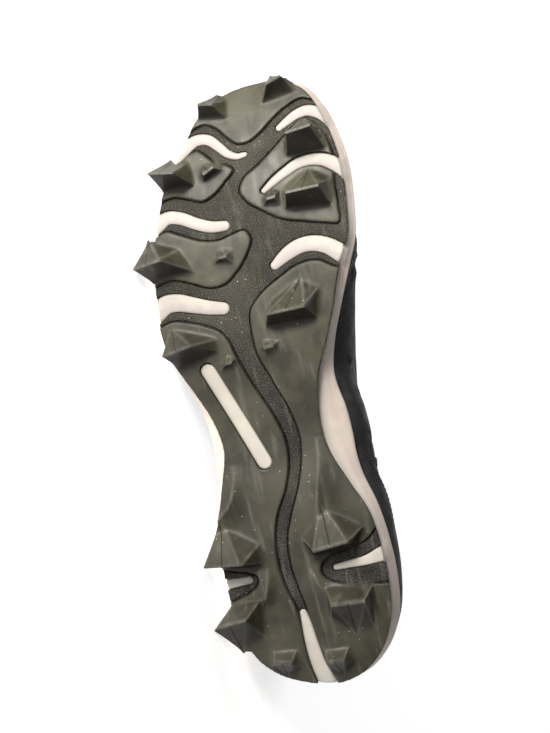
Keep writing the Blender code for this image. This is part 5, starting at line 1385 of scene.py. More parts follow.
def make_leather():
    """Coated synthetic leather: smooth, half gloss, a tight fine grain and dull rubbed clouds."""
    material, tree, shader, place_at = new_material("black_leather", 0.36)
    cloud = noise(tree, place_at, 26.0, 5.0)
    rub = noise(tree, place_at, 150.0, 6.0, 0.65)
    pores = use_group(tree, grain, place_at, Scale=1300.0, Softness=0.35)["Height"]
    specks = use_group(tree, dust, place_at, Speck_width=0.0003, Share=0.10)["Specks"]
    colour = coated(tree, (0.0045, 0.0045, 0.0047),
                    (stepped(tree, cloud, 0.4, 0.7), (0.0085, 0.0085, 0.0085)),
                    (stepped(tree, rub, 0.60, 0.78, 0.0, 0.30), (0.028, 0.027, 0.026)),
                    (times(tree, specks, 0.45), (0.40, 0.39, 0.36)))
    tree.links.new(stepped(tree, rub, 0.35, 0.75, 0.46, 0.66), shader.inputs["Roughness"])
    shader.inputs["Specular IOR Level"].default_value = 0.30
    surfaced(tree, shader, colour, pores, 0.45, 0.00010)
    return material


def knit_group():
    """A knitted or woven cloth over a surface in metres: Height of its loops, and their Edge, the gaps
    between them, which make_cloth paints dark as shade.
    """
    tree, start, end = shader_group("knit", {"Across": 0.0012, "Along": 0.0016}, ("Height", "Edge"))
    parts = node(tree, "ShaderNodeSeparateXYZ", Vector=start.outputs["Place"]).outputs

    def rib(turn):
        return maths(tree, "ABSOLUTE", maths(tree, "SINE", turn))

    turn_x, turn_y = (maths(tree, "DIVIDE", times(tree, part, math.pi), start.outputs[pitch])
                      for part, pitch in ((parts[0], "Across"), (parts[1], "Along")))
    rib_x = rib(turn_x)
    height = times(tree, rib_x, rib(maths(tree, "ADD", turn_y, times(tree, rib_x, 0.9))))
    tree.links.new(height, end.inputs["Height"])
    tree.links.new(stepped(tree, height, 0.0, 0.35, 1.0, 0.0), end.inputs["Edge"])
    return tree


knit = knit_group()


def make_cloth(name, across, along, dark, light, roughness):
    """Black knitted cloth that follows the piece's own surface, with paler lint and painted shade in the
    gaps between its loops.
    """
    material, tree, shader, place_at = new_material(name, roughness)
    loops = use_group(tree, knit, place_at.node.outputs["UV"], Across=across, Along=along)
    cloud = noise(tree, place_at, 70.0, 5.0)
    colour = coated(tree, dark, (stepped(tree, cloud, 0.35, 0.7), light),
                    # painted shade in the gaps between the loops
                    (times(tree, loops["Edge"], 0.7), (0.002, 0.002, 0.002)))
    shader.inputs["Sheen Weight"].default_value = 0.25
    shader.inputs["Sheen Roughness"].default_value = 0.5
    surfaced(tree, shader, colour, loops["Height"], 0.8, 0.0003)
    return material


form = Upper()
black_leather = make_leather()
lining_cloth = make_cloth("lining_cloth", 0.0014, 0.0018, (0.012, 0.012, 0.012), (0.022, 0.022, 0.021),
                          0.85)
upper = make_upper_mesh(black_leather, lining_cloth)
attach(upper, "root")
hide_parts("upper")

# Pinholes and vents
# Rows of punched pinholes through the forefoot's sides, and four small oval vents with raised
# lips along the inner arch, all pressed into the leather before lasting.
PINHOLE_PITCH = 0.0022
PINHOLE_WIDTH = 0.0009
PINHOLE_TALL = 0.080
DRAWN_IN, DRAWN_IN_POWER, DRAWN_IN_FRONT = 0.30, 1.5, 0.6
PINHOLE_SUNK = 0.00008
PINHOLE_OFFSET = -0.00003
PINHOLE_FIELDS = [
    # side, a at the back, a at the front, height shares at the foot and at the top
    ("inner", 0.575, 0.800, 0.10, 0.50),
    ("outer", 0.575, 0.800, 0.10, 0.50),
]
VENTS = [(0.515, 0.33), (0.455, 0.36), (0.390, 0.38), (0.335, 0.50)]
VENT_LONG, VENT_WIDE = 0.0042, 0.0019
VENT_LIP, VENT_RISE, VENT_DEEP = 0.0007, 0.8, 0.0003
HOLE_POINTS, LIP_POINTS = 24, 8
HOLE_LIFT = 0.00012
MARKS_LIFT = 0.0003
STEP = 0.001


def marks_mesh(name, points, outs, edges=()):
    """Points on the laid shoe with the surface's outward direction, for repeated small parts."""
    laid = lay(points)
    laid[:, 2] = np.maximum(laid[:, 2], MARKS_LIFT)
    mesh = bpy.data.meshes.new(name)
    mesh.from_pydata([tuple(p) for p in laid], list(edges), [])
    out = mesh.attributes.new("out", "FLOAT_VECTOR", "POINT")
    out.data.foreach_set("vector", (outs @ np.array(LIE.to_3x3()).T).astype(np.float32).ravel())
    return mesh


def tree_with(name, sizes):
    """A geometry tree with named sizes and a material, its first and last node."""
    tree = bpy.data.node_groups.new(name, "GeometryNodeTree")
    tree.interface.new_socket("Geometry", in_out="INPUT", socket_type="NodeSocketGeometry")
    for label, value in sizes.items():
        socket = tree.interface.new_socket(label, in_out="INPUT", socket_type="NodeSocketFloat")
        socket.default_value = value
    tree.interface.new_socket("Finish", in_out="INPUT", socket_type="NodeSocketMaterial")
    tree.interface.new_socket("Geometry", in_out="OUTPUT", socket_type="NodeSocketGeometry")
    return tree, tree.nodes.new("NodeGroupInput"), tree.nodes.new("NodeGroupOutput")


def outward_turn(tree, **before):
    """The rotation that stands a shape on the surface, after one that it already has."""
    found = node(tree, "GeometryNodeInputNamedAttribute", "FLOAT_VECTOR", Name="out").outputs[0]
    made = node(tree, "FunctionNodeAlignRotationToVector", "Z", Vector=found, **before)
    made.pivot_axis = "X" if before else "AUTO"
    return made.outputs[0]


def repeated(tree, start, end, points, shape, rotation):
    """Puts a shape at each point, makes it real, smooth and finished, and ends the tree."""
    made = node(tree, "GeometryNodeInstanceOnPoints", Points=points, Instance=shape, Rotation=rotation)
    made = node(tree, "GeometryNodeRealizeInstances", at_0=made.outputs[0])
    made = node(tree, "GeometryNodeSetShadeSmooth", at_0=made.outputs[0])
    made = node(tree, "GeometryNodeSetMaterial", at_0=made.outputs[0], Material=start.outputs["Finish"])
    tree.links.new(made.outputs[0], end.inputs[0])


def pinhole_tree():
    """A sunk plug with a soft rim at each point, in the finish that it is given."""
    tree, start, end = tree_with("pinholes", {"Width": PINHOLE_WIDTH, "Sunk": PINHOLE_SUNK})
    width = start.outputs["Width"]
    plug = node(tree, "GeometryNodeMeshCone", Vertices=10, Side_Segments=1, Depth=start.outputs["Sunk"],
                Radius_Top=times(tree, width, 0.36), Radius_Bottom=times(tree, width, 0.5))
    repeated(tree, start, end, start.outputs["Geometry"], plug.outputs["Mesh"], outward_turn(tree))
    return tree


def stitch_tree():
    """Stitches of thread one behind another along each line."""
    tree, start, end = tree_with("stitches", {"Pitch": 0.0030, "Half length": 0.0012,
                                              "Half width": 0.00032, "Half height": 0.00026})
    line = node(tree, "GeometryNodeMeshToCurve", at_0=start.outputs["Geometry"])
    evenly = node(tree, "GeometryNodeResampleCurve", "LENGTH", Curve=line.outputs[0],
                  Length=start.outputs["Pitch"])
    ball = node(tree, "GeometryNodeMeshUVSphere", Segments=8, Rings=5, Radius=1.0)
    scale = node(tree, "ShaderNodeCombineXYZ", at_0=start.outputs["Half length"],
                 at_1=start.outputs["Half width"], at_2=start.outputs["Half height"])
    drawn = node(tree, "GeometryNodeTransform", Geometry=ball.outputs["Mesh"], Scale=scale.outputs[0])
    ahead = node(tree, "FunctionNodeAlignRotationToVector", "X",
                 Vector=tree.nodes.new("GeometryNodeInputTangent").outputs[0])
    repeated(tree, start, end, evenly.outputs[0], drawn.outputs[0],
             outward_turn(tree, Rotation=ahead.outputs[0]))
    return tree


def grown(name, mesh, tree, finish, **sizes):
    """The plain mesh that a geometry tree grows from marks."""
    seed = bpy.data.objects.new(name + "_marks", mesh)
    bpy.context.scene.collection.objects.link(seed)
    grow = seed.modifiers.new("grow", "NODES")
    grow.node_group = tree
    for item in tree.interface.items_tree:
        if item.in_out == "INPUT" and item.name in sizes:
            grow[item.identifier] = sizes[item.name]
        if item.in_out == "INPUT" and item.name == "Finish":
            grow[item.identifier] = finish
    seen = seed.evaluated_get(bpy.context.evaluated_depsgraph_get())
    made = bpy.data.meshes.new_from_object(seen)
    made.name = name
    seed.modifiers.clear()
    bpy.data.objects.remove(seed)
    if not made.materials:
        made.materials.append(finish)
    piece = bpy.data.objects.new(name, made)
    bpy.context.scene.collection.objects.link(piece)
    return piece


def wall_points(ways, heights, offset):
    """One point of the worn wall for each pair of a way round and a height, with its normal."""
    heights = np.asarray(heights, float)[:, None]
    return worn_skin(ways, heights, offset)[:, 0], form.normals(ways, heights)[:, 0]


def pinhole_places():
    """Ways round and height shares of the pinholes, in rows that draw in towards the top."""
    ways, heights = [], []
    for side, back, front, low, high in PINHOLE_FIELDS:
        start, stop = sorted((form.way(side, back), form.way(side, front)))
        columns = np.arange(start, stop, PINHOLE_PITCH)
        rows = np.arange(low, high, PINHOLE_PITCH / PINHOLE_TALL)
        for j, row in enumerate(rows):
            lost = DRAWN_IN * (j / len(rows)) ** DRAWN_IN_POWER * (stop - start)
            kept = [way for way in columns + (j % 2) * PINHOLE_PITCH / 2
                    if start + lost < way < stop - lost * DRAWN_IN_FRONT]
            ways += kept
            heights += [row] * len(kept)
    return np.array(ways), np.array(heights)


def patchy(name, roughness, scale, detail, dark, light, step=None, bump=None):
    """A material of two colours in patches. A step sharpens the patches, a bump raises them."""
    material, tree, shader, place_at = new_material(name, roughness)
    patches = noise(tree, place_at, scale, detail)
    share = stepped(tree, patches, *step) if step else patches
    surfaced(tree, shader, blended(tree, share, dark, light), patches if bump else None, *(bump or ()))
    return material


def lipped_holes(name, places, offset, long, wide, lip, rise, deep):
    """Moulded lips round the dark of holes in the wall. Places are ways round, height shares,
    and the step to the way that the hole's long side faces."""
    points, faces, kinds = [], [], []
    turns, lips = (np.linspace(0.0, 2 * math.pi, n + 1)[:-1] for n in (HOLE_POINTS, LIP_POINTS))
    n, m = HOLE_POINTS, LIP_POINTS
    for way, height, step in places:
        (centre,), (out,) = wall_points([way], [height], offset)
        ahead = wall_points([way + step], [height], offset)[0][0] - centre
        ahead /= np.linalg.norm(ahead)
        across = np.cross(out, ahead)
        first, sink = len(points), len(points) + n * m
        rim = [centre + long / 2 * math.cos(t) * ahead + wide / 2 * math.sin(t) * across for t in turns]
        for t, at in zip(turns, rim):
            radial = math.cos(t) * ahead + math.sin(t) * across
            points += [at + lip * (math.cos(s) * radial + math.sin(s) * rise * out) for s in lips]
        points += [at + out * lift for lift in (HOLE_LIFT, -deep) for at in rim]
        faces += [(first + i * m + j, first + (i + 1) % n * m + j, first + (i + 1) % n * m + (j + 1) % m,
                   first + i * m + (j + 1) % m) for i in range(n) for j in range(m)]
        faces += [tuple(range(sink, sink + n)), tuple(range(sink + 2 * n - 1, sink + n - 1, -1))]
        faces += [(sink + i, sink + i + n, sink + (i + 1) % n + n, sink + (i + 1) % n) for i in range(n)]
        kinds += [0] * (n * m) + [1] * (n + 2)
    return laid_mesh(name, points, faces, [lip_highlight_rubber, hole_dark], sharp=60.0, face_material=kinds)


# The unlit inside of small holes, grey painted into the pinholes as highlights, and rubber lips
# painted paler as highlights on them
hole_dark = patchy("hole_dark", 0.9, 900.0, 2.0, (0.001, 0.001, 0.001), (0.006, 0.006, 0.006))
# Grey painted into the pinholes as highlights.
pinhole_highlight_grey = patchy("pinhole_highlight_grey", 0.8, 240.0, 3.0, (0.010, 0.010, 0.010), (0.19, 0.185, 0.17),
                      step=(0.35, 0.65))
# The vents' and eyelets' lips are painted paler than the leather, as highlights on them.
lip_highlight_rubber = patchy("lip_highlight_rubber", 0.38, 420.0, 3.0, (0.022, 0.022, 0.021), (0.060, 0.058, 0.053),
                    step=(0.35, 0.65))
hole_points, hole_outs = wall_points(*pinhole_places(), PINHOLE_OFFSET)
pinholes = grown("pinholes", marks_mesh("pinhole_marks", hole_points, hole_outs), pinhole_tree(),
                 pinhole_highlight_grey, Width=PINHOLE_WIDTH)
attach(pinholes, "root")
vents = lipped_holes("arch_vents", [(form.way("inner", a), height, -STEP) for a, height in VENTS], 0.0,
                     VENT_LONG, VENT_WIDE, VENT_LIP, VENT_RISE, VENT_DEEP)
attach(vents, "root")

# Heel counter
# A smooth overlay of the same coated leather, cut to a rising curve, glued round the heel and
# held by a double row of stitches along its slanted front edge.
OVERLAY = 0.0011
EDGE_BEVEL = 0.0007
COUNTER_EDGE = [
    # a and height over the bed as a share of COLLAR_HEIGHT, from the sole up and back
    (0.425, -0.30), (0.380, 0.02), (0.330, 0.25), (0.250, 0.45), (0.150, 0.57), (0.000, 0.63),
    (-0.120, 0.66),
]
COUNTER_FOOT = 0.03
COUNTER_ROWS, COUNTER_WAYS = 22, 220
COUNTER_ENDS, COUNTER_LEAST, COUNTER_SOFT = 0.40, 0.02, 6
COUNTER_BED_AT = 0.1
STITCH_INSETS = (0.0022, 0.0042)
EDGE_SHARES = (0.008, 0.02, 0.035)
OVERLAY_LEAST, OVERLAY_UNDER = 0.00025, 0.00005


def counter_height(ways):
    """Height share at which each line up the wall crosses the counter's edge."""
    curve = smooth_line(np.array(COUNTER_EDGE), False, 80)
    bed = bed_level(np.array([[COUNTER_BED_AT * LENGTH, 0.0]]))[0]
    tries = np.linspace(0.0, 1.0, 240)
    wall = form.outer(ways, tries)
    limit = np.interp(wall[:, :, 0] / LENGTH, curve[::-1, 0], curve[::-1, 1], right=-9.0)
    over = wall[:, :, 2] > bed + limit * COLLAR_HEIGHT
    over[:, -1] = True
    return tries[np.argmax(over, axis=1)]


def soft_mean(values, spread):
    """Values of an open row averaged with their neighbours, its ends kept."""
    for _ in range(spread):
        inside = (values[:-2] + 2 * values[1:-1] + values[2:]) / 4
        values = np.concatenate([values[:1], inside, values[-1:]])
    return values


def overlay_mesh(name, ways, low, high, rows, material, bevel_low=False):
    """A glued overlay between two height shares for each way, with its edges rounded over."""
    share = np.linspace(0.0, 1.0, rows)
    share = np.unique(np.concatenate([share, 1 - np.array(EDGE_SHARES), np.array(EDGE_SHARES)]))
    heights = low[:, None] + (high - low)[:, None] * share[None, :]
    tall = np.maximum((high - low) * WALL_TALL, 1e-4)[:, None]
    thick = OVERLAY - round_over((1 - share) * tall, EDGE_BEVEL)
    if bevel_low:
        thick = np.minimum(thick, OVERLAY - round_over(share * tall, EDGE_BEVEL))
    outer = worn_skin(ways, heights, GAP + np.maximum(thick, OVERLAY_LEAST))
    points, faces = tube_grid(outer, worn_skin(ways, heights, OVERLAY_UNDER), False)
    return laid_mesh(name, points, faces, [material], sharp=50.0)


def row_of_stitches(name, lines, finish):
    """Thread stitches along open lines of (ways, heights, offset) on the wall."""
    points, outs, edges = [], [], []
    for ways, heights, offset in lines:
        found, normals = wall_points(ways, heights, offset)
        first = len(points)
        edges += [(first + i, first + i + 1) for i in range(len(found) - 1)]
        points += [*found]
        outs += [*normals]
    return grown(name, marks_mesh(name + "_marks", points, np.array(outs), edges), stitches, finish)


stitches = stitch_tree()
black_thread = patchy("black_thread", 0.5, 2200.0, 3.0, (0.010, 0.010, 0.010), (0.040, 0.040, 0.039),
                      bump=(0.6, 0.0001))
counter_ways = np.linspace(form.way("inner", COUNTER_ENDS) - form.round,
                           form.way("outer", COUNTER_ENDS), COUNTER_WAYS)
counter_top = soft_mean(counter_height(counter_ways), COUNTER_SOFT)
reached = counter_top > COUNTER_FOOT + COUNTER_LEAST
counter_ways, counter_top = counter_ways[reached], counter_top[reached]
counter = overlay_mesh("heel_overlay", counter_ways, np.full(len(counter_ways), COUNTER_FOOT),
                       counter_top, COUNTER_ROWS, black_leather)
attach(counter, "root")
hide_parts("heel_counter")
stitched = [(counter_ways[4:-4], counter_top[4:-4] - inset / WALL_TALL, GAP + OVERLAY)
            for inset in STITCH_INSETS]
counter_stitches = row_of_stitches("counter_stitches", stitched, black_thread)
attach(counter_stitches, "root")

# Vamp seams
# Double rows of stitches from the throat's front down to the sole on both sides, where the vamp
# is sewn to the quarters, and one up the back of the heel.
SEAM_PATHS = [
    # side, rows of a at the foot and height share, from the sole up
    ("inner", [(0.640, 0.06), (0.675, 0.22), (0.715, 0.40), (0.765, 0.56), (0.815, 0.70),
               (0.850, 0.80)]),
    ("outer", [(0.640, 0.06), (0.672, 0.22), (0.708, 0.40), (0.750, 0.56), (0.800, 0.70),
               (0.835, 0.80)]),
]
SEAM_APART = 0.0021
HEEL_SEAM_APART = 0.0032
HEEL_SEAM = (0.66, 0.95)


def seam_lines():
    """Each seam's two rows, side by side, as ways round, height shares and offset."""
    for side, rows in SEAM_PATHS:
        rows = np.array([(form.way(side, a), height) for a, height in rows])
        smooth = glide(np.arange(len(rows)), rows, np.linspace(0, len(rows) - 1, 60))
        for apart in (-SEAM_APART / 2, SEAM_APART / 2):
            yield smooth[:, 0] + apart, smooth[:, 1], 0.0
    for apart in (-HEEL_SEAM_APART / 2, HEEL_SEAM_APART / 2):
        yield np.full(40, apart % form.round), np.linspace(*HEEL_SEAM, 40), 0.0


vamp_stitches = row_of_stitches("vamp_stitches", seam_lines(), black_thread)
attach(vamp_stitches, "root")

# Eyestay
# A band of coated leather round the throat, edge stitched twice, with six pairs of punched and
# pressed eyelets for the lace.
THROAT = (("outer", 0.85, 0.45), ("inner", 0.87, 0.46))  # side, a at its front, a at its back
STAY_WAYS, STAY_ROWS = 260, 12
EYESTAY_FOOT = 0.82
EYELET_HEIGHT = 0.925
EYELET_RADIUS = 0.0027
EYELET_RIM, EYELET_RISE, EYELET_DEEP = 0.00055, 0.7, 0.0005
LACE_BARS = 6
STAY_STITCHES = (0.840, 0.858, 0.982)


def throat_pairs(count):
    """Ways round to opposite places on the two sides of the throat, front to back."""
    t = np.linspace(0.0, 1.0, count)
    for side, front, back in THROAT:
        start = form.way(side, front)
        yield start + (form.way(side, back) - start) * t


stay_ways = np.linspace(*(form.way(side, back) for side, _, back in THROAT), STAY_WAYS)
everywhere = np.ones(len(stay_ways))
eyestay = overlay_mesh("eyestay_band", stay_ways, everywhere * EYESTAY_FOOT, everywhere, STAY_ROWS,
                       black_leather, bevel_low=True)
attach(eyestay, "root")
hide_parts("eyestay")
stay_lines = [(stay_ways[3:-3], everywhere[3:-3] * height, GAP + OVERLAY) for height in STAY_STITCHES]
stay_stitches = row_of_stitches("eyestay_stitches", stay_lines, black_thread)
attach(stay_stitches, "root")
eyelet_places = [(way, EYELET_HEIGHT, STEP) for ways in throat_pairs(LACE_BARS + 2) for way in ways[1:-1]]
eyelets = lipped_holes("eyelets", eyelet_places, GAP + OVERLAY, 2 * EYELET_RADIUS, 2 * EYELET_RADIUS,
                       EYELET_RIM, EYELET_RISE, EYELET_DEEP)
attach(eyelets, "root")

# Collar
# Foam roll round the ankle under knitted lining, sewn to the upper's top edge and down inside.
COLLAR_PAD = 0.0045
COLLAR_FRONT, COLLAR_FADE = 0.33, 0.06
PAD_OVER_HEIGHT = [(0.0, 0.0), (0.55, 0.0), (0.72, 0.45), (0.88, 1.0), (0.96, 0.75), (1.0, 0.30)]
PAD_FROM = 0.56
COLLAR_ENDS, COLLAR_WAYS, COLLAR_ROWS, COLLAR_TURNS = 0.42, 300, 26, 9
PAD_CROWN = 0.0011
PAD_LEAST = 0.00035
PAD_SPACE, PAD_BACK_SPACE = 0.0002, 0.00005


def make_collar_mesh(material):
    """The roll: down the inside on the lining, round the top edge, back against the wall."""
    back = form.round
    ways = np.linspace(form.way("inner", COLLAR_ENDS) - back, form.way("outer", COLLAR_ENDS), COLLAR_WAYS)
    share = form.collar_share(ways % back)
    down = np.linspace(PAD_FROM, 1.0, COLLAR_ROWS)
    pad = np.interp(down, *zip(*PAD_OVER_HEIGHT))
    depths = WALL + PAD_SPACE + np.clip(COLLAR_PAD * share[:, None] * pad[None, :], PAD_LEAST, None)
    inside = worn_skin(ways, down, -depths)
    edge = worn_skin(ways, np.array([1.0]), np.zeros((1, 1)))[:, 0]
    over = []
    for t in np.linspace(0.0, math.pi, COLLAR_TURNS)[1:-1]:
        between = (inside[:, -1] * (1 + math.cos(t)) + edge * (1 - math.cos(t))) / 2
        over.append(between + np.array([0.0, 0.0, PAD_CROWN * math.sin(t)]))
    against = worn_skin(ways, down[::-1], -(WALL + PAD_BACK_SPACE))
    ring = np.concatenate([inside, np.stack(over, axis=1), edge[:, None], against], axis=1)
    n, m = ring.shape[:2]
    faces = [(i * m + j, (i + 1) * m + j, (i + 1) * m + (j + 1) % m, i * m + (j + 1) % m)
             for i in range(n - 1) for j in range(m)]
    faces += [tuple(range(m)), tuple((n - 1) * m + j for j in range(m - 1, -1, -1))]
    along = chord_knots(ring[n // 2], False)[:m]
    uv = np.stack(np.meshgrid(ways, along, indexing="ij"), axis=-1).reshape(-1, 2)
    return laid_mesh("collar_roll", ring.reshape(-1, 3), faces, [material], sharp=70.0, uv=uv)


collar = make_collar_mesh(lining_cloth)
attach(collar, "root")

# Insole
# Loose moulded foam footbed covered with knitted cloth, lying on the midsole inside the upper.
INSOLE_THICKNESS = 0.004
INSOLE_SPACE = 0.0008
INSOLE_ROUND = 0.0012
INSOLE_HALF = 0.035
INSOLE_CUP, INSOLE_CUP_FROM, INSOLE_EDGE = 0.001225, 0.7, 0.985
INSOLE_RIM_SHARES, INSOLE_RINGS = (0.0, 0.004, 0.010, 0.02), (0.94, 0.06, 18)


def make_insole_mesh(material):
    """Rings from its rim in to its spine, above and below, with a seam along the spine."""
    rim = rim_rings(RIM_POINTS)[1]
    outline = rim - outward(rim) * (RIM_LEDGE + WALL + INSOLE_SPACE)
    shares = np.concatenate([1 - np.array(INSOLE_RIM_SHARES), np.linspace(*INSOLE_RINGS)])
    spine = np.column_stack([outline[:, 0] * 0.9 + outline[:, 0].mean() * 0.1, outline[:, 1] * 0.0])
    low_rings, high_rings = [], []
    for share in shares:
        ring = spine + (outline - spine) * share
        level = bed_level(ring) + GAP
        lift = INSOLE_THICKNESS - round_over(np.full(len(ring), (1 - share) * INSOLE_HALF), INSOLE_ROUND)
        cup = INSOLE_CUP * capped((share - INSOLE_CUP_FROM) / (1 - INSOLE_CUP_FROM)) ** 2
        low_rings.append(np.column_stack([ring, level]))
        high_rings.append(np.column_stack([ring, level + lift + cup * (share < INSOLE_EDGE)]))
    stack = [*low_rings[::-1], *high_rings]
    n = RIM_POINTS
    points = np.concatenate(stack)
    faces = tube_faces(len(stack), n)
    for first, turn in ((0, 1), ((len(stack) - 1) * n, -1)):
        for i in range(n // 2):
            quad = (first + i, first + i + 1, first + (n - i - 1) % n, first + (n - i) % n)
            faces.append(tuple(dict.fromkeys(quad))[::turn])
    return laid_mesh("cloth_insole", points, faces, [material], sharp=60.0, uv=points[:, :2])


insole_cloth = make_cloth("insole_cloth", 0.0011, 0.0011, (0.020, 0.020, 0.021), (0.034, 0.034, 0.034),
                          0.9)
insole = make_insole_mesh(insole_cloth)
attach(insole, "root")
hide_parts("insole")

# Tongue
# Padded tongue of knitted cloth over foam, sewn in under the vamp, thinning to a rounded edge at
# its free end.
TONGUE_TUCK = 0.86
TONGUE_TUCK_TOP = 0.94
TONGUE_ARCH = 0.10
TONGUE_THICKNESS = 0.0045
TONGUE_OVER_TOP = 0.025
TONGUE_DIP = 0.002
TONGUE_EASE = 0.0016
TONGUE_SPACE = 0.0008
TONGUE_INSET = 0.004
TONGUE_TIP = [
    # length as a share of TONGUE_OVER_TOP, width as a share of the tongue's
    (0.40, 0.90), (0.76, 0.85), (1.0, 0.70),
]
TONGUE_FULLNESS = [0.45, 0.8, 1.0, 1.0, 1.0, 1.0, 1.0, 0.8, 0.45]
TONGUE_STATIONS, TONGUE_FLAT_STATIONS, TONGUE_DIPPED = 12, 3.0, 2
TONGUE_END_ROWS, TONGUE_SIDE_SHARE, TONGUE_EDGE_LEAST = 6, 12, 0.02
TONGUE_FINE = (90, 65)
TONGUE_PITCH = (0.0015, 0.0012)


def arched(start, end, rise, shares):
    """Points over the straight way between two places, raised by rise in its middle."""
    return [start + (end - start) * s + np.array([0.0, 0.0, rise * 4 * s * (1 - s)]) for s in shares]


def tongue_sections():
    """Sections across the tongue, from under the vamp to its tip, nine points each."""
    count = TONGUE_STATIONS
    outer_ways, inner_ways = throat_pairs(count)
    below = WALL + TONGUE_SPACE

    def beneath(way, k):
        back = k / (count - 1)
        low = TONGUE_TUCK + (TONGUE_TUCK_TOP - TONGUE_TUCK) * back ** 2
        return form.skin([way], np.linspace(low, 1.0, 3), -below - TONGUE_EASE * back ** 2)[0]

    front = np.linspace(outer_ways[0] + TONGUE_INSET, inner_ways[0] - TONGUE_INSET, 9)
    sections = [form.skin(front, [TONGUE_TUCK], -below)[:, 0]]
    for k, (outer_way, inner_way) in enumerate(zip(outer_ways, inner_ways)):
        left, right = beneath(outer_way, k), beneath(inner_way, k)
        rise = np.linalg.norm(right[-1] - left[-1]) * TONGUE_ARCH * min(1.0, k / TONGUE_FLAT_STATIONS)
        across = arched(left[-1], right[-1], rise - TONGUE_DIP * (k < TONGUE_DIPPED),
                        (0.25, 0.5, 0.75))
        sections.append(np.array([*left, *across, *right[::-1]]))
    sections = np.array(sections)
    rise = (sections[-1] - sections[-3]).mean(axis=0)
    rise /= np.linalg.norm(rise)
    last = sections[-1]
    middle = last.mean(axis=0)
    for length, narrow in TONGUE_TIP:
        grown_on = middle + (last - middle) * narrow + rise * length * TONGUE_OVER_TOP
        sections = np.concatenate([sections, grown_on[None]])
    return sections


def make_tongue_mesh(material):
    """The sections drawn finely both ways, given their thickness, thin at the rims and the tip."""
    sections = tongue_sections()
    n, m = sections.shape[:2]
    fine_n, fine_m = TONGUE_FINE
    sections = glide(np.arange(n), sections.reshape(n, -1), np.linspace(0, n - 1, fine_n))
    turned = sections.reshape(fine_n, m, 3).transpose(1, 0, 2).reshape(m, -1)
    sections = glide(np.arange(m), turned, np.linspace(0, m - 1, fine_m)).reshape(fine_m, fine_n, 3)
    sections = sections.transpose(1, 0, 2)
    along, across = np.gradient(sections, axis=0), np.gradient(sections, axis=1)
    down = unit(np.cross(along, across))
    if down[:, :, 2].mean() > 0:
        down = -down
    full = glide(np.arange(m), np.array(TONGUE_FULLNESS)[:, None], np.linspace(0, m - 1, fine_m))[:, 0]
    end = capped((np.arange(fine_n) - (fine_n - 1 - TONGUE_END_ROWS)) / TONGUE_END_ROWS)
    side = capped(np.abs(np.linspace(-1, 1, fine_m)) * TONGUE_SIDE_SHARE - (TONGUE_SIDE_SHARE - 1))
    end, side = (np.sqrt(np.clip(1 - out ** 2, TONGUE_EDGE_LEAST, 1)) for out in (end, side))
    thick = TONGUE_THICKNESS * full[None, :] * end[:, None] * side[None, :]
    half = down * thick[:, :, None] / 2
    centre = sections + down * (TONGUE_THICKNESS * full[None, :, None]) / 2
    points, faces = tube_grid(centre - half, centre + half, False)
    uv = np.meshgrid(*(np.arange(n) * pitch for n, pitch in zip(TONGUE_FINE, TONGUE_PITCH)), indexing="ij")
    uv = np.stack(uv, axis=-1).reshape(-1, 2)
    return laid_mesh("padded_tongue", points, faces, [material], sharp=75.0, uv=np.concatenate([uv, uv]))


tongue_cloth = make_cloth("tongue_cloth", 0.0016, 0.0021, (0.011, 0.011, 0.011), (0.020, 0.020, 0.020),
                          0.8)
tongue = make_tongue_mesh(tongue_cloth)
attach(tongue, "root")
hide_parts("tongue")

# Lace
# Flat woven black lace, laced straight across: each bar comes up through one eyelet, lies over
# the tongue and goes down through the other. Its ends stop inside at the top eyelets.
LACE_WIDTH = 0.0070
LACE_THICKNESS = 0.0016
LACE_LIFT = 0.0014
LACE_ARCH = 0.16
LACE_AT_EYELET = 0.55
LACE_NARROW_TO, LACE_WIDENS_OVER = 0.0022, 0.006
LACE_FACING = (-1.0, 0.0, 0.55)
LACE_FLAT, LACE_BLUNT = 0.45, 0.75
LACE_SAMPLES = 72
LACE_ROUND = 20


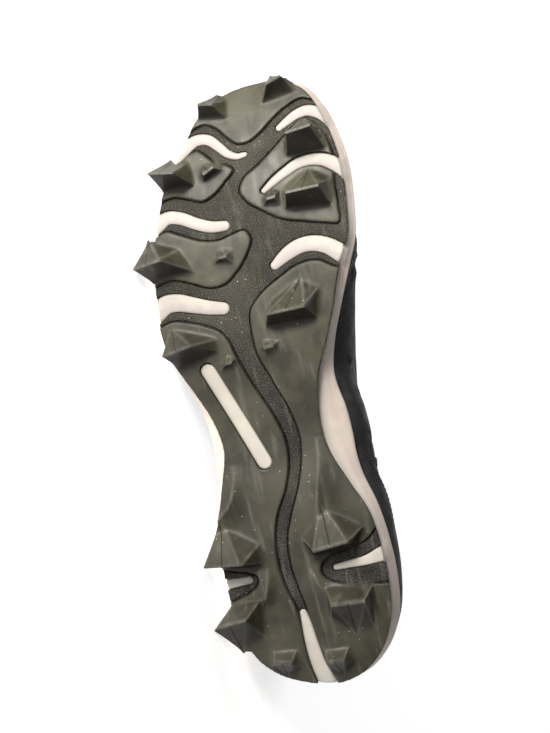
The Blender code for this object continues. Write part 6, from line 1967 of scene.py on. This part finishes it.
def make_lace_bar(bar, material):
    """One bar: up through an eyelet, over the tongue in an arch, and down through the other."""
    lift = GAP + OVERLAY + LACE_LIFT
    middle = lift + LACE_THICKNESS / 2
    heights = np.array([EYELET_HEIGHT - 0.004, EYELET_HEIGHT, EYELET_HEIGHT + 0.012, 0.965, 1.0])
    offsets = np.array([[-0.0012, 0.0010, lift + 0.0008, middle, middle]])
    left, right = (form.skin([ways[bar]], heights, offsets)[0] for ways in throat_pairs(LACE_BARS + 2))
    right = right[::-1]
    rise = LACE_ARCH * np.linalg.norm(right[0] - left[-1])
    route = np.array([*left, *arched(left[-1], right[0], rise, (0.2, 0.4, 0.6, 0.8)), *right])
    knots = chord_knots(route, False)
    at = np.linspace(0.0, knots[-1], LACE_SAMPLES)
    line = glide(knots, route, at)
    along = np.gradient(line, axis=0)
    ahead = np.array(LACE_FACING)
    side = unit(ahead - along * ((along @ ahead) / (along * along).sum(axis=1))[:, None])
    up = unit(np.cross(along, side))
    if up[LACE_SAMPLES // 2, 2] < 0:
        up = -up
    from_end = np.minimum(at, knots[-1] - at)
    spread = eased(capped((from_end - LACE_NARROW_TO) / LACE_WIDENS_OVER))
    width = LACE_WIDTH * (LACE_AT_EYELET + (1 - LACE_AT_EYELET) * spread)
    turns = np.arange(LACE_ROUND) * 2 * math.pi / LACE_ROUND
    wide = np.sign(np.cos(turns)) * np.abs(np.cos(turns)) ** LACE_FLAT
    tall = np.sign(np.sin(turns)) * np.abs(np.sin(turns)) ** LACE_BLUNT
    ring = (line[:, None] + side[:, None] * (width[:, None, None] / 2 * wide[None, :, None])
            + up[:, None] * (LACE_THICKNESS / 2 * tall[None, :, None]))
    n, m = ring.shape[:2]
    faces = tube_faces(n, m)
    faces += [tuple(range(m - 1, -1, -1)), tuple((n - 1) * m + j for j in range(m))]
    uv = np.stack([np.repeat(at, m), np.tile(wide, n) * np.repeat(width, m) / 2], axis=1)
    return laid_mesh(f"lace_{bar}", ring.reshape(-1, 3), faces, [material], sharp=80.0, uv=uv)


lace_cloth = make_cloth("lace_cloth", 0.0010, 0.0008, (0.012, 0.012, 0.012), (0.024, 0.024, 0.023),
                        0.75)
for bar in range(1, LACE_BARS + 1):
    lace = make_lace_bar(bar, lace_cloth)
    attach(lace, "root")
    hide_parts(f"lace_bar_{bar}")
